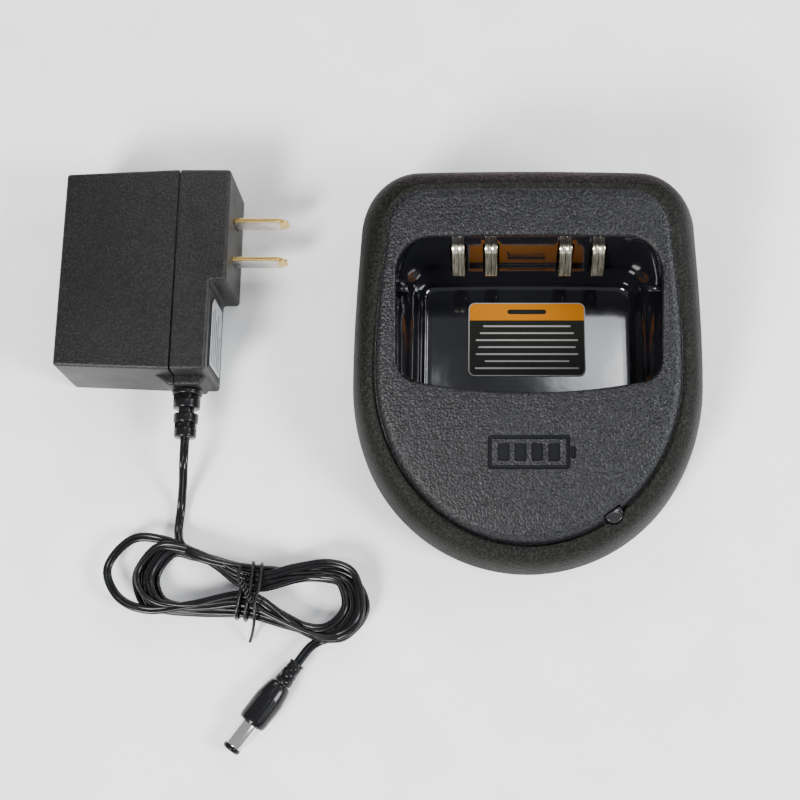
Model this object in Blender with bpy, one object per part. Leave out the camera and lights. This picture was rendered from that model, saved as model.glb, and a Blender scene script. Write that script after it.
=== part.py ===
"""Desktop charging cradle for a two-way radio, with its plug-in power adapter and lead.

Dimensions are in millimetres and are turned into metres where meshes are made.
+X runs from the adapter to the cradle, +Y to the cradle's back, +Z up from the table.
"""
import math

import bmesh
import bpy
from mathutils import Matrix, Vector

MM = 0.001
GAP = 0.3                       # clearance between neighbouring pieces

# Where the two housings stand on the table, before the whole set is centred.
CRADLE_AT = (39.5, 8.0)
ADAPTER_AT = (-101.7, 34.5)

# Cradle housing.
BASE_HALF = 53.0
BASE_HALF_BACK = 51.0
BASE_BACK_Y = 53.0
BASE_FRONT_Y = -63.0
BASE_CORNER = 18.0
WIDEST_Y = -9.0
RIM_Z = 1.2
WALL = 2.2
PANEL_HALF = 44.8
PANEL_HALF_BACK = 40.9
PANEL_BACK_Y = 41.3
PANEL_FRONT_Y = -56.2
PANEL_CORNER = 11.6
PANEL_BACK_Z = 52.0
PANEL_FRONT_Z = 19.0
PANEL_STEP = 2.7                # height of the panel's edge above the skirt, at the front
PANEL_STEP_BACK = 0.5
PANEL_INSET = 0.2               # the panel's edge leans in by this much
PANEL_ROUND = 0.8
SHOULDER_ROUNDING = 2.8         # exponent of the skirt's rounded profile
SKIRT_ANGLES = (0, 9, 20, 32, 44, 55, 65, 74, 82, 88, 90)
SKIRT_ANGLES_INSIDE = (76, 55, 32, 0)
OPENING_HALF = 38.5
OPENING_BACK_Y = 28.4
OPENING_FRONT_Y = -14.5
OPENING_BACK_CORNER = 10.0
OPENING_FRONT_CORNER = 6.4
OPENING_BOW = 2.8
PANEL_TILT = math.atan((PANEL_BACK_Z - PANEL_FRONT_Z) / (PANEL_BACK_Y - PANEL_FRONT_Y))

# Battery symbol engraved in the panel.
MARK_Y = -31.0
MARK_HALF_X = 12.0
MARK_HALF_Y = 5.0
MARK_LINE = 1.2
MARK_DEPTH = 0.5
MARK_BARS = 4
MARK_BAR_WIDTH = 3.5
MARK_BAR_PITCH = 4.9

# Pocket liner.
LINER_WALL = 1.6
POCKET_FLOOR_Z = 10.0
FLOOR_HALF = 32.1
FLOOR_BACK_Y = 26.2
FLOOR_FRONT_Y = -11.2
FLOOR_CORNER = 3.0
LEDGE_Z = 24.0
RIB_TOP_Z = 36.5
RIB_X = 35.3
RIB_WIDTH = 2.6
RIB_Y = (15.2, 17.0)

# Charging contacts.
CONTACT_X = (-20.7, -11.0, 11.0, 20.7)
CONTACT_WIDTH = 3.7
CONTACT_THICKNESS = 0.4
CONTACT_PIVOT_Y = 31.5
CONTACT_PIVOT_Z = 16.0
SLOT_WIDTH = 4.9
SLOT_Z = (21.0, 40.6)
CARRIER_HALF = 24.7
CARRIER_Y = (29.0, 34.0)

# Base plate, feet and screws.
PLATE_Z = 2.6
PLATE_THICKNESS = 2.0
FOOT_SPOTS = ((-34.0, -30.0), (34.0, -30.0), (-39.0, 21.0), (39.0, 21.0))
FOOT_RADIUS = 5.0
SCREW_SPOTS = ((-37.0, -21.0), (37.0, -21.0), (-33.0, 36.5), (33.0, 36.5))
SCREW_POST_RADIUS = 3.2
BOARD_POSTS = ((-20.0, 41.0), (20.0, 41.0), (-19.0, -22.0), (19.0, -22.0))

# Boards and the power jack.
BOARD_Z = 7.0
BOARD_THICKNESS = 1.6
JACK_AXIS_Z = 14.2
JACK_FACE_Y = 49.4
JACK_LENGTH = 13.0
JACK_NOSE = 4.2
JACK_BORE_RADIUS = 3.1
JACK_PIN_RADIUS = 1.0

# Indicator beside the panel's front edge.
LENS_AT = (24.8, -47.9)
LENS_RADIUS = 2.65
LENS_BACK = 0.9

# Labels.
LABEL_THICKNESS = 0.2
POCKET_LABEL_SIZE = (36.0, 23.6)
POCKET_LABEL_Y = 8.6
BASE_LABEL_SIZE = (44.0, 24.0)
BASE_LABEL_Y = 2.0

# Adapter.
CASE_SPLIT_X = 35.0
CASE_LENGTH = 50.4
CASE_HALF_Y = 32.0
CASE_THICKNESS = 26.0
CASE_DRAFT = 1.4                # how much narrower the far end is, each side
CASE_STEP_X = 45.4
CASE_STEP_Y = -4.0
CASE_WALL = 2.2
CASE_EDGE = 1.2
BOSS_DEPTH = 2.8
BOSS_HALF_Z = 6.0
BOSS_BASE = (28.0, 45.0)
BOSS_TIP = (33.2, 42.8)
BLADE_SPACING = 12.7
BLADE_CENTRE_Y = 12.6
BLADE_WIDTH = 6.35
BLADE_THICKNESS = 1.5
BLADE_LENGTH = 16.5
BLADE_ROOT_X = 40.5
RELIEF_X = 38.0
RELIEF_LENGTH = 15.0

# Lead and its plug.
CORD_RADIUS = 1.4
HANK_AT = (-43.5, -60.5)
HANK_LENGTH = 72.0
HANK_WIDTH = 22.0
HANK_WAIST = 15.0
HANK_LOW_Z = 1.3
HANK_HEIGHT = 9.6
TIE_WIDTH = 2.4
HANK_TILT = math.radians(-10.0)
LEAD_STEPS = ((0.0, 0.0, 0.0), (0.0, -4.0, 0.0), (-0.2, -8.0, -1.0), (-0.8, -12.0, -4.6),
              (-1.6, -15.5, -8.2), (-2.2, -19.0, -10.6), (-2.6, -23.0, -11.5), (-2.8, -26.6, -11.5))
TAIL_POINTS = ((-24.8, -76.4, 3.8), (-26.4, -78.6, 4.2))
PLUG_START = (-28.6, -81.5)
PLUG_DIRECTION = (-0.6, -0.8)
PLUG_RADIUS = 4.4
PLUG_RELIEF_LENGTH = 7.5
PLUG_GRIP_LENGTH = 14.0
BARREL_RADIUS = 2.75
BARREL_LENGTH = 8.0
RING_LENGTH = 1.0


def clear_scene():
    for item in list(bpy.data.objects):
        bpy.data.objects.remove(item, do_unlink=True)


def centre_shift():
    """Offset that puts the middle of the cradle and adapter's box over the origin."""
    low_x = ADAPTER_AT[0]
    high_x = CRADLE_AT[0] + BASE_HALF
    low_y = CRADLE_AT[1] + BASE_FRONT_Y
    high_y = ADAPTER_AT[1] + CASE_HALF_Y
    return -(low_x + high_x) / 2, -(low_y + high_y) / 2


def make_material(name, colour, roughness, metallic=0.0):
    material = bpy.data.materials.new(name)
    material.use_nodes = True
    shader = material.node_tree.nodes["Principled BSDF"]
    shader.inputs["Base Color"].default_value = (*colour, 1.0)
    shader.inputs["Roughness"].default_value = roughness
    shader.inputs["Metallic"].default_value = metallic
    return material


def make_empty(name, location, parent=None):
    empty = bpy.data.objects.new(name, None)
    bpy.context.scene.collection.objects.link(empty)
    empty.location = [value * MM for value in location]
    empty.parent = parent
    return empty


def make_object(name, mesh, parent, finish, location=(0, 0, 0), smooth=None):
    """Link a mesh as an object under parent; finish is (colour, roughness, metallic)."""
    if finish and not mesh.materials:
        mesh.materials.append(make_material(name, *finish))
    item = bpy.data.objects.new(name, mesh)
    bpy.context.scene.collection.objects.link(item)
    item.parent = parent
    item.location = [value * MM for value in location]
    if smooth is not None:
        mesh.shade_smooth()
        mesh.set_sharp_from_angle(angle=math.radians(smooth))
    return item


def mesh_from(points, faces, name="mesh"):
    """Mesh from millimetre points, with flat faces that all point outwards."""
    mesh = bpy.data.meshes.new(name)
    mesh.from_pydata([[value * MM for value in point] for point in points], [], faces)
    shape = bmesh.new()
    shape.from_mesh(mesh)
    bmesh.ops.recalc_face_normals(shape, faces=shape.faces)
    bent = [face for face in shape.faces if len(face.verts) == 4 and is_bent(face)]
    bmesh.ops.triangulate(shape, faces=bent)
    shape.to_mesh(mesh)
    shape.free()
    return mesh


def is_bent(face):
    """Whether a four-sided face is out of its plane."""
    corner = face.verts[0].co
    return any(abs((vert.co - corner).dot(face.normal)) > 1e-7 for vert in face.verts)


def loft(rings, closed_round=False):
    """Skin rings of equal length; ends are capped, or joined when closed_round is set."""
    count = len(rings[0])
    points = [point for ring in rings for point in ring]
    faces = []
    spans = len(rings) if closed_round else len(rings) - 1
    for row in range(spans):
        this_row = row * count
        next_row = ((row + 1) % len(rings)) * count
        for step in range(count):
            after = (step + 1) % count
            faces.append((this_row + step, this_row + after, next_row + after, next_row + step))
    if not closed_round:
        faces.append(tuple(range(count)))
        faces.append(tuple(range((len(rings) - 1) * count, len(rings) * count)))
    return mesh_from(points, faces)


def prism(outline, low, high, axis="z"):
    """Extrude a flat outline from low to high along an axis."""
    place = {
        "z": lambda a, b, c: (a, b, c),
        "y": lambda a, b, c: (a, c, b),
        "x": lambda a, b, c: (c, a, b),
    }[axis]
    return loft([[place(a, b, level) for a, b in outline] for level in (low, high)])


def box_mesh(low, high, edge=0.0, segments=2):
    """Box between two corners, with rounded edges when edge is above zero."""
    outline = ((low[0], low[1]), (high[0], low[1]), (high[0], high[1]), (low[0], high[1]))
    mesh = prism(outline, low[2], high[2])
    if edge > 0:
        round_edges(mesh, edge, segments)
    return mesh


def round_edges(mesh, radius, segments, keep_sharp=None):
    """Bevel every edge for which keep_sharp is not true."""
    shape = bmesh.new()
    shape.from_mesh(mesh)
    edges = [edge for edge in shape.edges if not (keep_sharp and keep_sharp(edge))]
    bmesh.ops.bevel(shape, geom=edges, offset=radius * MM, segments=segments, profile=0.5,
                    affect="EDGES", clamp_overlap=True)
    shape.to_mesh(mesh)
    shape.free()


def turned(profile, segments, axis="z"):
    """Solid of revolution of (radius, height) pairs, bottom to top, capped at both ends."""
    rings = []
    for radius, height in profile:
        ring = []
        for step in range(segments):
            angle = 2 * math.pi * step / segments
            across = (radius * math.cos(angle), radius * math.sin(angle))
            if axis == "z":
                ring.append((across[0], across[1], height))
            else:
                ring.append((across[0], height, across[1]))
        rings.append(ring)
    return loft(rings)


def add_cutter(target, mesh, parent, name, operation="DIFFERENCE", location=(0, 0, 0), tilt=0.0):
    """Cut or join a shape with target, using a guide object that stays out of the model."""
    cutter = make_object(name, mesh, parent, None, location)
    cutter.rotation_euler[0] = tilt
    cutter.hide_render = True
    cutter.display_type = "WIRE"
    boolean = target.modifiers.new(name, "BOOLEAN")
    boolean.operation = operation
    boolean.solver = "EXACT"
    boolean.object = cutter
    return cutter


def panel_height(y):
    """Height of the tilted top panel's plane."""
    return PANEL_BACK_Z - (PANEL_BACK_Y - y) * math.tan(PANEL_TILT)


def mirrored(half):
    """Whole outline from its right half, which runs from the back centre to the front centre."""
    return half + [(-x, y) for x, y in reversed(half[1:-1])]


BACK_STEPS = 4
CORNER_STEPS = 5
SIDE_STEPS = 4
FRONT_STEPS = 15


def rounded_back(half_back, back_y, corner, half_side, side_y, bow):
    """Right half of an outline's back edge, its corner and its side down to side_y."""
    points = []
    flat = half_back - corner
    for step in range(BACK_STEPS):
        x = flat * step / BACK_STEPS
        points.append((x, back_y - bow * (x / half_back) ** 2))
    centre_y = back_y - bow * (flat / half_back) ** 2 - corner
    for step in range(CORNER_STEPS + 1):
        angle = math.radians(90 - 90 * step / CORNER_STEPS)
        points.append((flat + corner * math.cos(angle), centre_y + corner * math.sin(angle)))
    for step in range(1, SIDE_STEPS):
        part = step / SIDE_STEPS
        x = half_back + (half_side - half_back) * math.sin(part * math.pi / 2)
        points.append((x, centre_y + (side_y - centre_y) * part))
    return points


def shield_outline(half, half_back, back_y, front_y, corner, inset=0.0):
    """Shield shape of the housing: straight back, nearly straight sides, half-round front."""
    points = rounded_back(half_back - inset, back_y - inset, corner - inset, half - inset, WIDEST_Y, 0.8)
    depth = WIDEST_Y - front_y - inset
    for step in range(FRONT_STEPS + 1):
        angle = math.pi / 2 * step / FRONT_STEPS
        points.append(((half - inset) * math.cos(angle), WIDEST_Y - depth * math.sin(angle)))
    points[-1] = (0.0, points[-1][1])
    return mirrored(points)


def pocket_outline(half, back_y, front_y, back_corner, front_corner, outset=0.0, bow=OPENING_BOW):
    """Shape of the pocket: a wide slot with rounded corners and a front edge bowed outwards."""
    half = half + outset
    front_y = front_y - outset
    side_y = front_y + bow + front_corner + outset
    points = rounded_back(half, back_y + outset, back_corner + outset, half, side_y, 0.5)
    corner = front_corner + outset
    steps = 5
    for step in range(steps + 1):
        angle = math.pi / 2 * step / steps
        x = half - corner + corner * math.cos(angle)
        points.append((x, side_y - corner * math.sin(angle)))
    flat = half - corner
    for step in range(1, FRONT_STEPS - steps + 1):
        x = flat * (1 - step / (FRONT_STEPS - steps))
        points.append((x, front_y + bow * (x / flat) ** 2))
    points[-1] = (0.0, points[-1][1])
    return mirrored(points)


def base_outline(inset=0.0):
    return shield_outline(BASE_HALF, BASE_HALF_BACK, BASE_BACK_Y, BASE_FRONT_Y, BASE_CORNER, inset)


def panel_outline(inset=0.0):
    return shield_outline(PANEL_HALF, PANEL_HALF_BACK, PANEL_BACK_Y, PANEL_FRONT_Y, PANEL_CORNER, inset)


def opening_outline(outset=0.0):
    return pocket_outline(OPENING_HALF, OPENING_BACK_Y, OPENING_FRONT_Y,
                          OPENING_BACK_CORNER, OPENING_FRONT_CORNER, outset)


def shoulder_height(y):
    """Height of the skirt where it meets the panel's edge; the step is deepest at the front."""
    part = (PANEL_BACK_Y - y) / (PANEL_BACK_Y - PANEL_FRONT_Y)
    return panel_height(y) - PANEL_STEP_BACK - (PANEL_STEP - PANEL_STEP_BACK) * part


def skirt_ring(angle, inset=0.0, lower=0.0):
    """Ring of the skirt: angle runs from the bottom rim, 0, to the shoulder, 90 degrees."""
    power = 2 / SHOULDER_ROUNDING
    rise = math.sin(math.radians(angle)) ** power
    inward = 1 - math.cos(math.radians(angle)) ** power
    ring = []
    for (bx, by), (sx, sy) in zip(base_outline(inset), panel_outline(inset)):
        top = shoulder_height(sy) - lower
        ring.append((bx + (sx - bx) * inward, by + (sy - by) * inward, RIM_Z + (top - RIM_Z) * rise))
    return ring


def plane_ring(outline, below=0.0):
    """Outline lifted to the panel's plane, or a distance below it."""
    return [(x, y, panel_height(y) - below) for x, y in outline]


def make_upper_housing(cradle):
    rings = [skirt_ring(angle) for angle in SKIRT_ANGLES]
    rings.append(plane_ring(panel_outline(PANEL_INSET), PANEL_ROUND))
    rings.append(plane_ring(panel_outline(PANEL_INSET + PANEL_ROUND * 0.3), PANEL_ROUND * 0.3))
    rings.append(plane_ring(panel_outline(PANEL_INSET + PANEL_ROUND)))
    rings.append(plane_ring(opening_outline(PANEL_ROUND)))
    rings.append(plane_ring(opening_outline(PANEL_ROUND * 0.3), PANEL_ROUND * 0.3))
    rings.append(plane_ring(opening_outline(), PANEL_ROUND))
    rings.append(plane_ring(opening_outline(), WALL + GAP))
    rings.append(plane_ring(panel_outline(1.6), WALL + GAP))
    rings.extend(skirt_ring(angle, WALL, WALL + GAP) for angle in SKIRT_ANGLES_INSIDE)
    housing = make_object("upper_housing", loft(rings, closed_round=True), cradle,
                          ((0.055, 0.06, 0.07), 0.55, 0.0), smooth=30)
    cut_lens_hole(housing, cradle)
    cut_battery_mark(housing, cradle)
    opening = turned([(5.6, 40.0), (5.6, 60.0)], 24, axis="y")
    add_cutter(housing, opening, cradle, "jack_opening", location=(0, 0, JACK_AXIS_Z))
    for index, (x, y) in enumerate(SCREW_SPOTS):
        foot, top = PLATE_Z + PLATE_THICKNESS + GAP, panel_height(y) - WALL + 0.6
        post = turned([(SCREW_POST_RADIUS, foot), (SCREW_POST_RADIUS, top)], 16)
        add_cutter(housing, post, cradle, f"post_{index}", "UNION", location=(x, y, 0))
        hole = turned([(1.5, 0.0), (1.5, 15.0)], 12)
        add_cutter(housing, hole, cradle, f"post_hole_{index}", location=(x, y, 0))
    return housing


def lens_outline(clearance=0.0):
    """Half disc with its flat side along the panel's edge and its round side outwards."""
    x, y = LENS_AT
    slope_x = x / PANEL_HALF ** 2
    slope_y = (y - WIDEST_Y) / (WIDEST_Y - PANEL_FRONT_Y) ** 2
    outward = math.atan2(slope_y, slope_x)
    radius = LENS_RADIUS + clearance
    points = []
    for step in range(13):
        angle = outward - math.pi / 2 + math.pi * step / 12
        points.append((x + radius * math.cos(angle), y + radius * math.sin(angle)))
    back = outward + math.pi
    reach = LENS_BACK + clearance
    shift = reach * math.cos(back), reach * math.sin(back)
    points.append((points[12][0] + shift[0], points[12][1] + shift[1]))
    points.append((points[0][0] + shift[0], points[0][1] + shift[1]))
    return points


def cut_lens_hole(housing, cradle):
    add_cutter(housing, prism(lens_outline(GAP), 11.0, 40.0), cradle, "lens_hole")


def cut_battery_mark(housing, cradle):
    """Shallow engraving of a plain battery symbol on the panel, in front of the pocket."""
    half_x, half_y, line = MARK_HALF_X, MARK_HALF_Y, MARK_LINE
    split = 0.02                # keeps neighbouring cuts from sharing a face
    shapes = [((-half_x, half_y - line), (half_x, half_y)),
              ((-half_x, -half_y), (half_x, -half_y + line)),
              ((half_x + split, -1.8), (half_x + 1.7, 1.8))]
    for side in (-half_x, half_x - line):
        shapes.append(((side, -half_y + line + split), (side + line, half_y - line - split)))
    first_bar = -(MARK_BAR_PITCH * (MARK_BARS - 1) + MARK_BAR_WIDTH) / 2
    for bar in range(MARK_BARS):
        start = first_bar + bar * MARK_BAR_PITCH
        shapes.append(((start, -half_y + 2 * line), (start + MARK_BAR_WIDTH, half_y - 2 * line)))
    for index, (low, high) in enumerate(shapes):
        block = box_mesh((low[0], low[1], -MARK_DEPTH), (high[0], high[1], 3.0))
        add_cutter(housing, block, cradle, f"mark_{index}", location=(0, MARK_Y, panel_height(MARK_Y)),
                   tilt=PANEL_TILT)


def liner_rings(outset):
    """Rings down the pocket's wall, from the opening to the floor's edge."""
    rings = [plane_ring(opening_outline(outset), WALL + 2 * GAP)]
    for share, level in ((0.35, LEDGE_Z + 0.5), (0.62, LEDGE_Z - 1.2), (0.94, POCKET_FLOOR_Z + 1.2)):
        half = OPENING_HALF + (FLOOR_HALF - OPENING_HALF) * share
        back = OPENING_BACK_Y + (FLOOR_BACK_Y - OPENING_BACK_Y) * share
        front = OPENING_FRONT_Y + (FLOOR_FRONT_Y - OPENING_FRONT_Y) * share
        corner = OPENING_BACK_CORNER + (FLOOR_CORNER - OPENING_BACK_CORNER) * share
        outline = pocket_outline(half, back, front, corner, 4.0, outset, OPENING_BOW * (1 - share))
        rings.append([(x, y, level - outset * share) for x, y in outline])
    return rings


def make_pocket_liner(cradle):
    inner = liner_rings(0.0)
    floor = pocket_outline(FLOOR_HALF - 0.8, FLOOR_BACK_Y - 0.8, FLOOR_FRONT_Y + 0.8, 2.6, 3.4, 0.0, 0.1)
    inner.append([(x, y, POCKET_FLOOR_Z) for x, y in floor])
    outer = liner_rings(LINER_WALL)
    outer.append([(x, y, POCKET_FLOOR_Z - LINER_WALL) for x, y in floor])
    rings = list(reversed(inner)) + outer
    black = ((0.012, 0.012, 0.014), 0.12, 0.0)
    liner = make_object("pocket_liner", loft(rings), cradle, black, smooth=35)
    for index, x in enumerate(CONTACT_X):
        slot = box_mesh((-SLOT_WIDTH / 2, OPENING_BACK_Y - 4.2, SLOT_Z[0]),
                        (SLOT_WIDTH / 2, OPENING_BACK_Y + 3.2, SLOT_Z[1]))
        add_cutter(liner, slot, cradle, f"contact_slot_{index}", location=(x, 0, 0))
    for side in (-1, 1):
        low_x, high_x = sorted((side * RIB_X, side * (RIB_X + RIB_WIDTH)))
        rib = box_mesh((low_x, RIB_Y[0], LEDGE_Z - 1.0), (high_x, RIB_Y[1], RIB_TOP_Z))
        add_cutter(liner, rib, cradle, f"guide_rib_{side}", "UNION")
    return liner


def strip_outline(path, thickness):
    """Closed outline of a strip of sheet that follows an open path."""
    half = thickness / 2
    left, right = [], []
    for index, point in enumerate(path):
        before = path[max(index - 1, 0)]
        after = path[min(index + 1, len(path) - 1)]
        across = Vector((before[1] - after[1], after[0] - before[0])).normalized() * half
        left.append((point[0] + across[0], point[1] + across[1]))
        right.append((point[0] - across[0], point[1] - across[1]))
    return left + right[::-1]


def make_contact_springs(cradle):
    """Four bent leaves; each one is hinged where it leaves the carrier behind the pocket."""
    path = [(0.0, -2.4), (0.0, 18.6), (-0.4, 20.6), (-1.6, 22.2), (-3.3, 22.4), (-4.6, 21.2),
            (-6.1, 17.4), (-7.8, 12.6), (-8.1, 11.2), (-7.4, 9.9), (-5.4, 8.0)]
    outline = strip_outline(path, CONTACT_THICKNESS)
    mesh = prism(outline, -CONTACT_WIDTH / 2, CONTACT_WIDTH / 2, axis="x")
    for index, x in enumerate(CONTACT_X):
        make_object(f"contact_spring_{index + 1}", mesh, cradle, ((0.75, 0.68, 0.5), 0.25, 1.0),
                    (x, CONTACT_PIVOT_Y, CONTACT_PIVOT_Z), smooth=40)


def make_contact_carrier(cradle):
    low_z = BOARD_Z + BOARD_THICKNESS + GAP
    block = box_mesh((-CARRIER_HALF, CARRIER_Y[0], low_z), (CARRIER_HALF, CARRIER_Y[1], CONTACT_PIVOT_Z))
    carrier = make_object("contact_carrier", block, cradle, ((0.02, 0.02, 0.02), 0.5, 0.0))
    for index, x in enumerate(CONTACT_X):
        half = CONTACT_WIDTH / 2 + GAP
        slot = box_mesh((-half, -0.6, -2.9), (half, 0.6, 1.0))
        add_cutter(carrier, slot, cradle, f"foot_slot_{index}",
                   location=(x, CONTACT_PIVOT_Y, CONTACT_PIVOT_Z))
    return carrier


def make_base_plate(cradle):
    outline = base_outline(WALL + GAP)
    mesh = prism(outline, PLATE_Z, PLATE_Z + PLATE_THICKNESS)
    plate = make_object("base_plate", mesh, cradle, ((0.04, 0.042, 0.045), 0.6, 0.0))
    for index, (x, y) in enumerate(SCREW_SPOTS):
        hole = turned([(1.7, 0.0), (1.7, 8.0)], 12)
        add_cutter(plate, hole, cradle, f"plate_hole_{index}", location=(x, y, 0))
    for index, (x, y) in enumerate(BOARD_POSTS):
        post = turned([(2.0, PLATE_Z + 1.0), (2.0, BOARD_Z - GAP)], 10)
        add_cutter(plate, post, cradle, f"board_post_{index}", "UNION", location=(x, y, 0))
    return plate


def make_feet(cradle):
    profile = [(FOOT_RADIUS - 0.5, 0.0), (FOOT_RADIUS, 0.5), (FOOT_RADIUS, PLATE_Z - GAP)]
    mesh = turned(profile, 24)
    for index, (x, y) in enumerate(FOOT_SPOTS):
        make_object(f"rubber_foot_{index + 1}", mesh, cradle, ((0.03, 0.03, 0.03), 0.85, 0.0),
                    (x, y, 0), smooth=40)


def make_screws(cradle):
    head = PLATE_Z - GAP
    mesh = turned([(1.6, head - 1.4), (2.6, head - 0.8), (2.6, head), (1.15, head), (1.15, 13.0),
                   (0.4, 14.2)], 14)
    for index, (x, y) in enumerate(SCREW_SPOTS):
        make_object(f"housing_screw_{index + 1}", mesh, cradle, ((0.5, 0.5, 0.5), 0.35, 1.0),
                    (x, y, 0), smooth=40)


def make_boards(cradle):
    green = ((0.02, 0.16, 0.07), 0.4, 0.0)
    top = BOARD_Z + BOARD_THICKNESS
    make_object("jack_board", box_mesh((-25, 28.6, BOARD_Z), (25, 45.8, top)), cradle, green)
    make_object("charge_board", box_mesh((-27, -49.2, BOARD_Z), (27, -18.5, top)), cradle, green)
    on_board = top + GAP
    chip = box_mesh((-5, -36, on_board), (5, -28, on_board + 1.5), 0.2, 1)
    make_object("charge_controller_chip", chip, cradle, ((0.02, 0.02, 0.02), 0.4, 0.0))
    coil = turned([(4.5, 0.0), (4.5, 0.8), (3.6, 1.3), (3.6, 3.9), (4.5, 4.4), (4.5, 5.2)], 20)
    make_object("power_inductor", coil, cradle, ((0.05, 0.05, 0.05), 0.5, 0.0),
                (-15, -30, on_board), smooth=40)
    can = turned([(2.9, 0.0), (3.1, 0.4), (3.1, 6.6), (2.9, 7.0)], 18)
    make_object("smoothing_capacitor", can, cradle, ((0.1, 0.12, 0.3), 0.35, 0.2),
                (12, -25, on_board), smooth=40)


def make_jack(cradle):
    """Power jack on the rear board; its mouth lies inside the opening in the back wall."""
    low_z = BOARD_Z + BOARD_THICKNESS + GAP
    shoulder = JACK_FACE_Y - JACK_NOSE
    body = box_mesh((-4.8, JACK_FACE_Y - JACK_LENGTH, low_z), (4.8, shoulder, JACK_AXIS_Z + 5.0))
    jack = make_object("dc_jack_body", body, cradle, ((0.015, 0.015, 0.015), 0.35, 0.0))
    nose = turned([(4.6, shoulder - 0.8), (4.6, JACK_FACE_Y)], 24, axis="y")
    add_cutter(jack, nose, cradle, "jack_nose", "UNION", location=(0, 0, JACK_AXIS_Z))
    deep = JACK_FACE_Y - 9.5
    socket = turned([(JACK_BORE_RADIUS, deep), (JACK_BORE_RADIUS, JACK_FACE_Y + 4)], 20, axis="y")
    add_cutter(jack, socket, cradle, "jack_socket", location=(0, 0, JACK_AXIS_Z))
    pin_profile = [(JACK_PIN_RADIUS, deep + GAP), (JACK_PIN_RADIUS, deep + 4.1), (0.6, deep + 4.7)]
    pin = turned(pin_profile, 14, axis="y")
    make_object("dc_jack_pin", pin, cradle, ((0.7, 0.7, 0.68), 0.25, 1.0), (0, 0, JACK_AXIS_Z), smooth=40)


def make_indicator(cradle):
    x, y = LENS_AT
    led = turned([(1.9, 0.0), (1.9, 1.0), (1.5, 1.0), (1.5, 3.8), (1.2, 4.7), (0.6, 5.2)], 16)
    make_object("indicator_led", led, cradle, ((0.5, 0.5, 0.5), 0.2, 0.0),
                (x - 0.8, y + 1.0, BOARD_Z + BOARD_THICKNESS + GAP), smooth=40)
    top = panel_height(y) - 0.5
    lens = prism(lens_outline(), BOARD_Z + BOARD_THICKNESS + 6.2, top)
    make_object("indicator_lens", lens, cradle, ((0.2, 0.2, 0.2), 0.2, 0.0), smooth=40)


def make_board_wires(cradle):
    """Two wires that join the boards underneath the pocket."""
    wires = (("wire_positive", -5.0, (0.5, 0.02, 0.02)), ("wire_negative", -1.0, (0.02, 0.02, 0.02)))
    for name, x, colour in wires:
        route = [(x, 30.0), (x + 1.2, 20.0), (x + 1.6, 5.0), (x + 0.6, -10.0), (x, -22.0)]
        points = [(a, b, 5.9) for a, b in smooth_points([Vector((a, b)) for a, b in route], 5.0)]
        make_tube(name, points, 0.6, 2, cradle, (colour, 0.5, 0.0))


def make_labels(cradle):
    z = POCKET_FLOOR_Z + GAP
    film = [(x, y + POCKET_LABEL_Y) for x, y in rounded_rectangle(*POCKET_LABEL_SIZE, 2.0, 4)]
    make_object("pocket_label", prism(film, z, z + LABEL_THICKNESS), cradle, ((0.08, 0.08, 0.08), 0.4, 0.0))
    plate = [(x, y + BASE_LABEL_Y) for x, y in rounded_rectangle(*BASE_LABEL_SIZE, 2.0, 3)]
    z = PLATE_Z - GAP
    make_object("base_label", prism(plate, z - LABEL_THICKNESS, z), cradle, ((0.3, 0.3, 0.3), 0.5, 0.0))


def rounded_rectangle(width, depth, radius, steps):
    points = []
    for turn in range(4):
        centre_x = (width / 2 - radius) * (1 if turn in (0, 3) else -1)
        centre_y = (depth / 2 - radius) * (1 if turn in (0, 1) else -1)
        for step in range(steps + 1):
            angle = math.pi / 2 * (turn + step / steps)
            points.append((centre_x + radius * math.cos(angle), centre_y + radius * math.sin(angle)))
    return points


def boss_outline(low_x, high_x):
    """Part of the cable boss between two X values; it narrows away from the case."""
    edge = -CASE_HALF_Y + 1.0
    tip = -CASE_HALF_Y - BOSS_DEPTH
    return [(low_x, edge), (high_x, edge), (min(high_x, BOSS_TIP[1]), tip), (max(low_x, BOSS_TIP[0]), tip)]


def boss_half(low_x, high_x):
    """Half of the cable boss, as high as the strain relief needs, about the case's middle."""
    middle = CASE_THICKNESS / 2
    return prism(boss_outline(low_x, high_x), middle - BOSS_HALF_Z, middle + BOSS_HALF_Z)


def make_rear_case(adapter):
    """Long half of the adapter's case, with a little draft towards its far end."""
    split = CASE_SPLIT_X - GAP / 2
    far = CASE_HALF_Y - CASE_DRAFT
    ends = [(0.0, far, 0.0, CASE_THICKNESS - 0.6), (split, CASE_HALF_Y, 0.0, CASE_THICKNESS)]
    rings = []
    for x, half, low, high in ends:
        rings.append([(x, -half, low), (x, half, low), (x, half, high), (x, -half, high)])
    mesh = loft(rings)
    round_edges(mesh, CASE_EDGE, 3, lambda edge: all(vert.co.x > (split - 0.1) * MM for vert in edge.verts))
    case = make_object("adapter_rear_case", mesh, adapter, ((0.018, 0.018, 0.018), 0.6, 0.0), smooth=35)
    add_cutter(case, boss_half(BOSS_BASE[0], split), adapter, "rear_boss", "UNION")
    cavity = box_mesh((CASE_WALL, -far + CASE_WALL, CASE_WALL),
                      (CASE_SPLIT_X + 2, far - CASE_WALL, CASE_THICKNESS - CASE_WALL - 0.6))
    add_cutter(case, cavity, adapter, "rear_cavity")
    return case


def front_outline(start, inset):
    """Stepped side view of the case's front half, seen from above as it lies."""
    half = CASE_HALF_Y - inset
    return [(start, -half), (CASE_STEP_X - inset, -half), (CASE_STEP_X - inset, CASE_STEP_Y + inset),
            (CASE_LENGTH - inset, CASE_STEP_Y + inset), (CASE_LENGTH - inset, half), (start, half)]


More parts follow.
